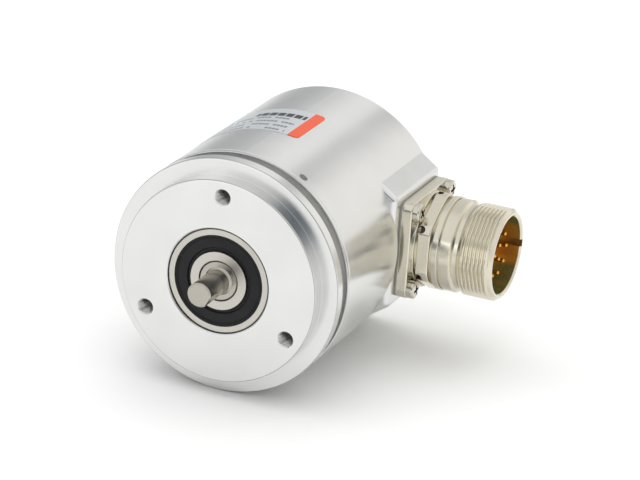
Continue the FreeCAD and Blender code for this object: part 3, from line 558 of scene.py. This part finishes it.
hole_angles = np.radians([90.0, 210.0, 330.0])
stud_circle = (hub_r + pocket_r) / 2
stud_r, stud_depth = 1.25, 8.0
lamp_screw_r, lamp_screw_x, lamp_screw_z = 0.8, 6.0, 13.8
cutters = [tapped_hole(a) for a in hole_angles]
cutters += [round_cutter(stud_r, stud_depth, pocket_floor + 1, stud_circle * math.cos(a),
                         stud_circle * math.sin(a), "Y", 32) for a in np.radians([30.0, 150.0, 270.0])]
cutters += [round_cutter(lamp_screw_r, hub_end - 3.5, hub_end + 1, x, lamp_screw_z, "Y", 32)
            for x in (-lamp_screw_x, lamp_screw_x)]
carve(flange, cutters)
place_piece(flange, flange_finish, "encoder_body", "turned_aluminium", "flange")

# %% [markdown]
# A file breaks the long edges of the flange, and a tap leaves its threads rougher than the lathe
# leaves a face. Both are also painted darker than the face, as shade on the rounded edges and in the
# holes. Each face is chosen by its distance from an edge of the profile or a hole's axis.

# %% Dull the edges and the threads, and paint shade on them
middle = read_mm(flange.data.polygons)
radius = np.hypot(middle[:, 0], middle[:, 2])
edge_shade_faces = np.zeros(len(middle), bool)
for along, out, size in ((0.0, collar_r, 0.2), (shoulder_y, body_r, 0.16),
                         (disc_back, body_r, 0.16), (groove_back, body_r, 0.16)):
    edge_shade_faces |= np.hypot(middle[:, 1] - along, radius - out) < size
# painted shade on the rounded edges: a darker colour than the face
second_finish(flange, edge_painted_shade_finish, edge_shade_faces)
nearest = np.min([np.hypot(middle[:, 0] - tap_circle * math.cos(a),
                           middle[:, 2] - tap_circle * math.sin(a)) for a in hole_angles], axis=0)
hole_shade_faces = (nearest < sink_r - 0.05) & (middle[:, 1] > 0.3) & (middle[:, 1] < tap_length + 1)
# painted shade in the tapped holes: a darker colour than the face
second_finish(flange, tap_painted_shade_finish, hole_shade_faces)

# %% [markdown]
# ## The bearing seal
# A nitrile lip seal has a profile of its own: a bead that snaps into the outer ring, a flat web
# stiffened by a steel disc, and a step down to the lip that runs on the inner ring.

# %% Mould the front seal
lip_r = span("front_bearing_inner_ring", 0)[1] + 0.1
bead_r = span("front_bearing_front_seal", 0)[1]
seal_front, seal_back = span("front_bearing_front_seal", 1)
seal = lathe("bearing_seal_moulded", [
    (seal_back, lip_r, 0.08), (seal_back, bead_r, 0.08), (seal_front, bead_r, 0.14),
    (seal_front, bead_r - 0.5, 0.12), (seal_front + 0.16, bead_r - 0.62, 0.05),
    (seal_front + 0.16, bead_r - 0.8, 0.05), (seal_front + 0.04, bead_r - 0.92, 0.1),
    (seal_front + 0.04, lip_r + 0.95, 0.15), (seal_front + 0.5, lip_r + 0.75, 0.1),
    (seal_front + 0.5, lip_r + 0.3, 0.05), (seal_front + 0.4, lip_r + 0.2, 0.04),
    (seal_front + 0.4, lip_r, 0.05)])
place_piece(seal, seal_finish, "encoder_body", "seal_rubber", "front_bearing_front_seal")

# %% [markdown]
# A hair-thin dark ring of painted shade stands in the groove round the outer ring and round the
# shaft, where the parts meet. It draws the two fine dark circles of the face.

# %% Run a dark ring of painted shade round both seats
# painted shade in the seat grooves: dark, half glossy
seat_ring_shade_finish = moulded("seat_gap_painted_shade", "#1b1c1a", 0.4, 0.3, 0.004)
ring_face = span("front_bearing_outer_ring", 1)[0]
journal_r = 5.0


def torus(name, middle, radius, half_along, half_out, points):
    """Ring of oval section: along = middle + half_along cos t, out = radius + half_out sin t."""
    t = np.linspace(0, 2 * math.pi, points, endpoint=False)
    section = np.repeat((radius + half_out * np.sin(t))[:, None], 160, axis=1)
    return revolve(name, middle + half_along * np.cos(t), section)


for name, middle, radius, size, body in (
        ("painted_shade_round_outer_ring", ring_face - 0.1, seat_r, 0.17, "encoder_body"),
        ("painted_shade_round_journal", ring_face + 0.06, journal_r, 0.09, "rotor")):
    place_piece(torus(name, middle, radius, size, size, 12), seat_ring_shade_finish, body, "seal_rubber")

# %% [markdown]
# ## The O-ring of the housing
# A rubber ring squeezed oval between spigot and housing. It is hidden while the encoder is closed.

# %% Mould the O-ring
ring_low, ring_high = span("housing_oring", 1)
ring_out = span("housing_oring", 0)[1]
ring_across = 0.62
oring = torus("housing_oring_round", (ring_low + ring_high) / 2, ring_out - ring_across,
              (ring_high - ring_low) / 2, ring_across, 24)
place_piece(oring, rubber_finish, "encoder_body", "black_rubber", "housing_oring")

# %% [markdown]
# ## The crimp dimples
# The housing is held by three punch marks that push its wall into a recess of the spigot. Each mark
# is a small round dish with a soft lip: a parabola turned about a radius of the housing.

# %% Punch the three dimples
crimp_y, crimp_depth, crimp_reach = 13.0, 0.5, 1.07
# the same aluminium as the housing, dulled by the punch and painted darker as shade in the hollow, so that a
# mark reads as a small grey dot
dimple_shade_finish = moulded("dimple_painted_shade_aluminium", "#8b8a88", 0.34, 0.2, 0.004, metallic=1.0)


def punched_dish(angle):
    """along = radius - depth * (1 - (out / reach)^2), turned about a radius of the housing."""
    reach = crimp_reach * np.linspace(0, 1, 10)
    dish = body_r - 0.02 - crimp_depth * (1 - (reach / crimp_reach) ** 2)
    along = np.concatenate([dish, [body_r - 0.85]])
    out = np.concatenate([reach, [0.0]])
    grid = np.repeat(out[:, None], 40, axis=1)
    piece = revolve("dish", along, grid, "X", (crimp_y, 0.0), closed=False)
    piece.data.transform(Matrix.Rotation(-angle, 4, "Y"))
    return piece


dimples = joined("crimp_dimples_punched", [punched_dish(a) for a in np.radians([60.0, 180.0, 300.0])])
place_piece(dimples, dimple_shade_finish, "encoder_body", "housing_aluminium")

# %% [markdown]
# ## The connector shell
# A turned barrel on a square plate. The barrel has a collar, a hexagon for the spanner, grooves, and
# an M23 x 1 thread at the mouth. The hexagon and the thread are the same surface of revolution
# whose radius also depends on the turn, so the whole barrel stays one clean grid.

# %% Turn the barrel with its hexagon and thread
face = plate_front  # every step of the barrel is measured from the front of the plate
thread_r, thread_depth, thread_pitch = 11.5, 0.55, 1.0
thread_first, thread_last = face + 12.5, conn_end - 0.9
mouth_r, bore_r, step_x, rear_bore_r = 9.6, 8.4, 41.5, 9.9
hex_half, hex_round, hex_front, hex_back = 11.2, 12.3, face + 4.7, face + 1.5
foot_r, sleeve_r, relief_r, neck_r = 12.0, 11.4, 10.6, 10.7
band_r, gap_r, ring_r = 11.7, 11.1, 11.5
barrel_count = 240

front_part = rounded([
    (conn_back, bore_r, 0.1), (conn_back, rear_bore_r, 0.15), (plate_back + 0.1, rear_bore_r, 0),
    (plate_back + 0.1, sleeve_r, 0), (face - 0.2, sleeve_r, 0), (face - 0.2, foot_r, 0),
    (face + 1.0, foot_r, 0.18), (face + 1.0, relief_r, 0), (hex_back, relief_r, 0),
    (hex_back, hex_round, 0.3), (hex_front, hex_round, 0.3), (hex_front, neck_r, 0),
    (face + 5.3, neck_r, 0), (face + 5.3, band_r, 0.22), (face + 6.9, band_r, 0.22),
    (face + 6.9, gap_r, 0), (face + 7.2, gap_r, 0), (face + 7.2, ring_r, 0.18),
    (face + 10.0, ring_r, 0.15), (face + 10.6, neck_r, 0.15), (face + 11.6, neck_r, 0.15),
    (face + 12.1, gap_r, 0), (thread_first, thread_r, 0)], closed=False)
rear_part = rounded([
    (thread_last, thread_r, 0), (conn_end - 0.2, 10.75, 0.1), (conn_end, 10.5, 0.08), (conn_end, 10.0, 0.1),
    (conn_end - 0.4, mouth_r, 0.1), (step_x, mouth_r, 0), (step_x, bore_r, 0)], closed=False)
turns = np.arange(thread_first, thread_last, thread_pitch / 10)[1:]
profile = np.concatenate([front_part, np.stack([turns, np.full(turns.shape, thread_r)], 1), rear_part])
angle = np.arange(barrel_count) * 2 * math.pi / barrel_count
out = np.repeat(profile[:, 1:2], barrel_count, axis=1)

hexagon = np.minimum(hex_round, hex_half / np.cos((angle + math.pi / 6) % (math.pi / 3) - math.pi / 6))
on_hexagon = (profile[:, 0] > hex_back - 0.1) & (profile[:, 0] < hex_front + 0.1) & (profile[:, 1] > 11.5)
out[on_hexagon] -= hex_round - hexagon
fade = np.clip((profile[:, 0] - thread_first + 0.4) / 0.8, 0, 1)
fade *= np.clip((conn_end - 0.1 - profile[:, 0]) / 0.6, 0, 1)
threaded = (profile[:, 0] > face + 12.2) & (profile[:, 1] > 10.6)
wave = 1 - thread_wave(angle[None, :] / (2 * math.pi) - profile[:, :1] / thread_pitch)
out -= np.where(threaded[:, None], thread_depth * wave * fade[:, None], 0)
barrel = revolve("connector_barrel", profile[:, 0], out, "X", (conn_y, 0.0))
print("barrel grid:", out.shape)

# %% [markdown]
# The square plate is also a ring: each row of it goes once round, from a circle under the barrel
# out to the rounded square. The thin gasket under it has the same outline, a hair smaller.

# %% Mill the plate and cut its gasket
plate_corner = 2.0
phi = np.abs((angle + math.pi / 4) % (math.pi / 2) - math.pi / 4)
core = plate_half - plate_corner
in_corner = plate_half * np.tan(phi) > core
lift = np.sqrt(np.maximum(plate_corner ** 2 - (core * (np.cos(phi) - np.sin(phi))) ** 2, 0))
square = np.where(in_corner, core * (np.cos(phi) + np.sin(phi)) + lift, plate_half / np.cos(phi))
screw_circle, screw_hole_r, screw_seat_r = 9.9, 1.4, 2.45
screw_places = [(conn_y + sy * screw_circle, sz * screw_circle) for sy in (-1, 1) for sz in (-1, 1)]


def square_ring(name, back, front, inset, round_back, round_front, inner_r):
    """Drilled ring: out = outline(turn) - inset at the rim, inner_r at the hole."""
    edge = rounded([(back, -1.5, 0), (back, -inset, round_back), (front, -inset, round_front),
                    (front, -1.5, 0)], closed=False)
    along = np.concatenate([[back], edge[:, 0], [front]])
    hole = np.full((1, barrel_count), inner_r)
    out = np.concatenate([hole, square[None, :] + edge[:, 1:], hole])
    ring = revolve(name, along, out, "X", (conn_y, 0.0))
    carve(ring, [round_cutter(screw_hole_r, back - 1, front + 1, y, z) for y, z in screw_places])
    return ring


plate = square_ring("connector_plate", plate_back, face, 0.0, 0.15, 0.3, 11.0)
gasket = square_ring("silicone_gasket", span("connector_gasket", 0)[0], plate_back, 0.06, 0.1, 0.1, 10.0)
place_piece(gasket, gasket_finish, "encoder_body", "black_rubber", "connector_gasket")

# %% [markdown]
# The keyway, the screw seats and the small pockets on the corners of the hexagon are cut out of the
# barrel, and then barrel and plate are joined, because they are one milled part.

# %% Cut the keyway, pockets and screw seats
def block_cutter(low, high, narrow=1.0):
    """Box cutter in mm whose low X face is narrower by a factor."""
    low, high = np.array(low, float), np.array(high, float)
    unit = np.array([[x, y, z] for x in (0, 1) for y in (0, 1) for z in (0, 1)], float)
    verts = low + unit * (high - low)
    middle = (low + high)[1:] / 2
    verts[:4, 1:] = middle + (verts[:4, 1:] - middle) * narrow
    faces = [(0, 1, 3, 2), (4, 6, 7, 5), (0, 4, 5, 1), (2, 3, 7, 6), (0, 2, 6, 4), (1, 5, 7, 3)]
    return finish_mesh("cutter", verts, faces)


dot_x, dot_r, key_half = 2.2, 0.95, 0.9
keyway = block_cutter((step_x, conn_y, -key_half), (conn_end + 1, conn_y + mouth_r + 0.7, key_half))
pockets = []
for k in range(6):
    pocket = round_cutter(dot_r, 0.0, 2.5, 0.0, 0.0)
    at = Matrix.Translation((face * MM + dot_x * MM, conn_y * MM, 0))
    turned_by = Matrix.Rotation(math.radians(30 + 60 * k), 4, "X")
    lifted = Matrix.Translation((0, (hex_round - 1.4) * MM, 0))
    pocket.data.transform(at @ turned_by @ lifted @ Matrix.Rotation(math.radians(90), 4, "Z"))
    pockets.append(pocket)
seats = [round_cutter(screw_seat_r, face, face + screw_head_height, y, z) for y, z in screw_places]
carve(barrel, [keyway, *pockets, *seats])

barrel = joined("connector_shell_milled", [barrel, plate])
place_piece(barrel, nickel_finish, "encoder_body", "nickel_plate", "connector_shell")

# %% [markdown]
# Inside the mouth the wall is painted amber in the middle, as a painted reflection of the amber
# contact carrier, and olive above and below the axis, as painted shade. The pockets of the hexagon
# are painted brown and glossy, as shade.

# %% Paint reflection and shade on the inside wall and in the pockets
def mouth_wall_reflection_and_shade():
    """Amber painted reflection to olive painted shade with the height above or below the axis: mix =
    smooth(|z| + cloud, 5.6 to 7.2 mm).
    """
    material, tree, shader = start("mouth_wall_painted_reflection_shade", "#c58c2e", 0.85, 0.22)
    place = add(tree, "TexCoord").outputs["Object"]
    z = add(tree, "SeparateXYZ", {0: place}).outputs["Z"]
    cloud = add(tree, "TexNoise", {"Vector": place, "Scale": 260.0, "Detail": 3.0}).outputs[0]
    cloud = add(tree, "Math", {0: cloud, 1: 2.0 * MM}, operation="MULTIPLY").outputs[0]
    height = add(tree, "Math", {0: z}, operation="ABSOLUTE").outputs[0]
    height = add(tree, "Math", {0: height, 1: cloud}, operation="ADD").outputs[0]
    olive = add(tree, "MapRange", {"Value": height, "From Min": 5.6 * MM, "From Max": 7.2 * MM},
                interpolation_type="SMOOTHSTEP").outputs[0]
    # amber stands for the reflection of the contact carrier, olive for shade above and below the axis
    tree.links.new(scatter(tree, "#fbc862", "#a8b478", olive), shader.inputs["Base Color"])
    bump(tree, shader, cloud, 0.002)
    return material


middle = read_mm(barrel.data.polygons)
from_axis = np.hypot(middle[:, 1] - conn_y, middle[:, 2])
on_wall = (from_axis < mouth_r + 0.05) & (middle[:, 0] > face + 2) & (middle[:, 0] < conn_end - 0.5)
second_finish(barrel, mouth_wall_reflection_and_shade(), on_wall)
# painted shade in the pockets: brown and glossy, a dark dot on each corner
pocket_shade_finish = moulded("pocket_painted_shade_brown", "#4a3020", 0.3, 0.3, 0.006)
corner_turn = (np.degrees(np.arctan2(middle[:, 2], middle[:, 1] - conn_y)) - 30) % 60
corner_turn = np.minimum(corner_turn, 60 - corner_turn)
shaded_pocket_faces = (np.abs(middle[:, 0] - face - dot_x) < dot_r + 0.01) & (from_axis > 10.8)
shaded_pocket_faces &= from_axis < hex_round - 0.08
shaded_pocket_faces &= np.radians(corner_turn) * from_axis < 0.93
second_finish(barrel, pocket_shade_finish, shaded_pocket_faces)

# %% [markdown]
# ## The four plate screws
# Pan head screws with a cross recess. Each is turned to a slightly different angle,
# as a screwdriver leaves them.

# %% Turn and recess the screws
screw_end, tip_r, shank_r, head_r, crown_r = 24.8, 1.05, 1.22, 2.3, 0.9
arm_long, arm_wide, arm_deep = 1.45, 0.36, 1.3


def plate_screw(y, z, turn):
    """Screw along X: a shank, a head with a rounded crown and a tapered cross recess."""
    top = face + screw_head_height
    screw = lathe("plate_screw", [
        (screw_end, 0.0, 0), (screw_end, tip_r, 0), (screw_end + 0.4, shank_r, 0), (face, shank_r, 0),
        (face, head_r, 0.1), (top - 0.12, head_r, 0.55), (top, crown_r, 0.3), (top, 0.0, 0)],
        count=56, axis="X", closed=False)
    carve(screw, [block_cutter((top - arm_deep, -a, -b), (top + 0.5, a, b), 0.75)
                  for a, b in ((arm_long, arm_wide), (arm_wide, arm_long))])
    turned_by = Matrix.Rotation(math.radians(turn), 4, "X")
    screw.data.transform(Matrix.Translation((0, y * MM, z * MM)) @ turned_by)
    return screw


plate_screws = joined("plate_screws", [plate_screw(y, z, turn) for (y, z), turn
                                       in zip(screw_places, (12.0, 40.0, -20.0, 5.0))])
place_piece(plate_screws, screw_finish, "encoder_body", "screw_steel", "connector_screws")
# painted shade in the cross recess: nearly black, so that the cross reads from afar
recess_shade_finish = moulded("cross_recess_painted_shade", "#2b2723", 0.4, 0.2, 0.004, metallic=0.6)
middle = read_mm(plate_screws.data.polygons)
nearest = np.min([np.hypot(middle[:, 1] - y, middle[:, 2] - z) for y, z in screw_places], axis=0)
shaded_recess_faces = (middle[:, 0] > face + 0.2) & (middle[:, 0] < face + screw_head_height - 0.2) & (nearest < 1.5)
second_finish(plate_screws, recess_shade_finish, shaded_recess_faces)

# %% [markdown]
# ## The rating label
# A silvery foil that wraps a third of the housing. The print is generic: a block of orange at its
# end, one bold broken bar and rows of short dashes in place of text. The piece carries its own UV
# map, one unit for 100 mm, so the print is set out in millimetres along the foil.

# %% Bend the foil
# a point of the foil: (radius cos turn, middle +- half width, radius sin turn), with rounded corners
label_start, label_end = math.radians(78.0), math.radians(188.0)
label_front, label_back = span("label", 1)
label_r = body_r + 0.1
corner = 1.5
end = np.concatenate([np.linspace(0, corner, 9), np.linspace(2.5, 10.0, 6)])
arc_length = (label_end - label_start) * label_r
arc = np.concatenate([end, np.linspace(12, arc_length - 12, 60), (arc_length - end)[::-1]])
near_end = np.minimum(arc, arc_length - arc)
drop = corner - np.sqrt(np.maximum(corner ** 2 - np.clip(corner - near_end, 0, None) ** 2, 0))
half = (label_back - label_front) / 2 - drop
thick = np.where(near_end > 0, 0.1, 0.0)
label_middle = (label_front + label_back) / 2
turn = label_start + arc / label_r
strips = [(-1, 0.0), (-1, 1.0), (1, 1.0), (1, 0.0)]
foil = np.stack([np.stack([(body_r + thick * lifted) * np.cos(turn), label_middle + side * half,
                           (body_r + thick * lifted) * np.sin(turn)], -1) for side, lifted in strips])
label = finish_mesh("rating_label_foil", foil.reshape(-1, 3), grid_faces(4, len(arc), True, False))

co = read_mm(label.data.vertices, "co")
vertex_of = np.empty(len(label.data.loops), dtype=np.int32)
label.data.loops.foreach_get("vertex_index", vertex_of)
at = np.arctan2(co[:, 2], co[:, 0])
at = np.where(at < 0, at + 2 * math.pi, at)
flat_print = np.stack([(at - label_start) * label_r, co[:, 1] - label_front], -1) / 100.0
layer = label.data.uv_layers.new(name="print")
layer.data.foreach_set("uv", flat_print[vertex_of].ravel())

# %% [markdown]
# The print is a set of rectangles in the label's own millimetres: u runs round the housing from the
# orange end, v runs back from the front edge. Ink is matt, and bare foil shines a little.

# %% Print the foil
def label_finish():
    """Print in mm: a bar lies where |u - centre| < half length and |v - centre| < half height."""
    material, tree, shader = start("printed_silver_foil", "#c6c9cc", 0.4, 0.33)
    uv = add(tree, "UVMap", uv_map="print").outputs[0]
    uv = add(tree, "VectorMath", {0: uv, "Scale": 100.0}, operation="SCALE").outputs[0]
    axes = add(tree, "SeparateXYZ", {0: uv}).outputs

    def bar(u, half_u, v, half_v):
        """1 inside a rectangle of the print, 0 outside."""
        a = add(tree, "Math", {0: axes["X"], 1: u, 2: half_u}, operation="COMPARE").outputs[0]
        b = add(tree, "Math", {0: axes["Y"], 1: v, 2: half_v}, operation="COMPARE").outputs[0]
        return add(tree, "Math", {0: a, 1: b}, operation="MULTIPLY").outputs[0]

    def dashes(length, pitch, height, share, bounds):
        """Random dashes: row = floor(v / pitch), cell = floor(u / length), kept when chance < share.

        bounds is the rectangle of the rows, as in bar: u, half length, v, half height.
        """
        cells = add(tree, "VectorMath", {0: uv, 1: (1.0 / length, 1.0 / pitch, 0.0)},
                    operation="MULTIPLY").outputs[0]
        key = add(tree, "VectorMath", {0: cells}, operation="FLOOR").outputs[0]
        chance = add(tree, "TexWhiteNoise", {"Vector": key}, noise_dimensions="2D").outputs[0]
        kept = add(tree, "Math", {0: chance, 1: share}, operation="LESS_THAN").outputs[0]
        place = add(tree, "VectorMath", {0: cells}, operation="FRACTION").outputs[0]
        part = add(tree, "SeparateXYZ", {0: place}).outputs
        tall = add(tree, "Math", {0: part["Y"], 1: 0.5, 2: height / 2 / pitch},
                   operation="COMPARE").outputs[0]
        wide = add(tree, "Math", {0: part["X"], 1: 0.5, 2: 0.42}, operation="COMPARE").outputs[0]
        for mask in (tall, wide, bar(*bounds)):
            kept = add(tree, "Math", {0: kept, 1: mask}, operation="MULTIPLY").outputs[0]
        return kept

    row_pitch = 2.8
    fine = dashes(0.95, row_pitch, height=1.05, share=0.7, bounds=(21.5, 17.2, 5.6, 5.5))
    bold = dashes(2.2, row_pitch, height=2.5, share=1.0, bounds=(10.0, 6.6, 12.6, 1.39))
    ink = add(tree, "Math", {0: fine, 1: bold}, operation="MAXIMUM").outputs[0]
    colour = scatter(tree, "#c6c9cc", "#6b7178", fine)
    colour = add(tree, "Mix", {"Factor": bold, 6: colour, 7: linear("#15181c")}, data_type="RGBA").outputs[2]
    block = bar(1.4, 1.5, 8.65, 9.0)
    paint = add(tree, "Mix", {"Factor": block, 6: colour, 7: linear("#de4a10")}, data_type="RGBA").outputs[2]
    tree.links.new(paint, shader.inputs["Base Color"])
    covered = add(tree, "Math", {0: ink, 1: block}, operation="MAXIMUM").outputs[0]
    shine = add(tree, "MapRange", {"Value": covered, "To Min": 0.4, "To Max": 0.0}).outputs[0]
    tree.links.new(shine, shader.inputs["Metallic"])
    bump(tree, shader, covered, 0.01)
    return material


place_piece(label, label_finish(), "encoder_body", "label_foil", "label")

# %% [markdown]
# ## The studio
# A pale floor that runs out of view, a bright soft sky and two large soft lights. Polished metal
# shows what stands round it, so the sky is not quite even: on the camera's side there is a dark
# round patch of room, and the wall behind the object goes from grey on the left to white panels on
# the right. Those give the turned edges and the housing their contrast.

# %% Floor, sky and lights
floor_z = -body_r - 0.05
floor_half = 1440.0
floor = finish_mesh("studio_floor", [(x * floor_half, y * floor_half, floor_z) for x, y in
                                     ((-1, -1), (1, -1), (1, 1), (-1, 1))], [(0, 1, 2, 3)])
# matt emulsion paint: pale, with a speckle too faint to see as a pattern
floor_paint, tree, shader = start("pale_studio_paint", "#f7f7f6", 0.0, 0.9)
where = add(tree, "TexCoord").outputs["Object"]
speckle = add(tree, "TexNoise", {"Vector": where, "Scale": 30.0}).outputs[0]
tree.links.new(scatter(tree, "#f5f5f4", "#f9f9f8", speckle), shader.inputs["Base Color"])
floor.data.materials.append(floor_paint)

world = bpy.data.worlds.new("soft_studio")
bpy.context.scene.world = world
world.use_nodes = True
sky = world.node_tree
background = sky.nodes["Background"]
direction = add(sky, "TexCoord").outputs["Generated"]
lens_side = (0.353, -0.862, 0.364)
patch_rim, patch_core = 0.925, 0.99  # cosines of the angle from lens_side
facing = add(sky, "VectorMath", {0: direction, 1: lens_side}, operation="DOT_PRODUCT").outputs["Value"]
dark_room = add(sky, "MapRange", {"Value": facing, "From Min": patch_rim, "From Max": patch_core},
                interpolation_type="SMOOTHSTEP").outputs[0]
axes = add(sky, "SeparateXYZ", {0: direction}).outputs
across = add(sky, "MapRange", {"Value": axes["X"], "From Min": -1.0, "From Max": 1.0}).outputs[0]
panels = add(sky, "ValToRGB", {"Fac": across})
wall_tones = [(0.0, "#c4c6c7"), (0.21, "#abadae"), (0.275, "#bbbdbe"), (0.335, "#d7d8d8"), (0.42, "#f1f1f0"),
              (0.512, "#f6f6f5"), (0.517, "#c0c1c2"), (0.56, "#cbcbcb"), (0.61, "#dfdfde"),
              (0.67, "#fefdfa"), (0.75, "#f9f7f2"), (1.0, "#d6d6d4")]
ramp = panels.color_ramp.elements
ramp[0].color, ramp[1].color = linear(wall_tones[0][1]), linear(wall_tones[-1][1])
for place, colour in wall_tones[1:-1]:
    ramp.new(place).color = linear(colour)
back = add(sky, "MapRange", {"Value": axes["Y"], "From Min": 0.0, "From Max": 0.3}).outputs[0]
wall = add(sky, "Mix", {"Factor": back, 6: linear("#eceded"), 7: panels.outputs[0]},
           data_type="RGBA").outputs[2]
room = add(sky, "Mix", {"Factor": dark_room, 6: wall, 7: linear("#35495a")}, data_type="RGBA").outputs[2]
sky.links.new(room, background.inputs["Color"])
background.inputs["Strength"].default_value = 1.14


def soft_light(name, place, size, power, mirrored):
    """Square area light in metres, aimed at the object; polished metal shows it only if mirrored."""
    data = bpy.data.lights.new(name, "AREA")
    data.shape = "SQUARE"
    data.size = size
    data.energy = power
    lamp = bpy.data.objects.new(name, data)
    lamp.location = place
    lamp.rotation_euler = (camera_aim - Vector(place)).to_track_quat("-Z", "Y").to_euler()
    lamp.visible_glossy = mirrored
    bpy.context.collection.objects.link(lamp)


soft_light("overhead_softbox", (-0.2, 0.1, 1.2), 1.6, 8.0, False)
soft_light("front_softbox", (-0.36, -0.95, 0.17), 0.45, 0.45, True)
bpy.context.scene.view_settings.view_transform = "Standard"
print("floor at Z", round(floor_z, 2), "mm")
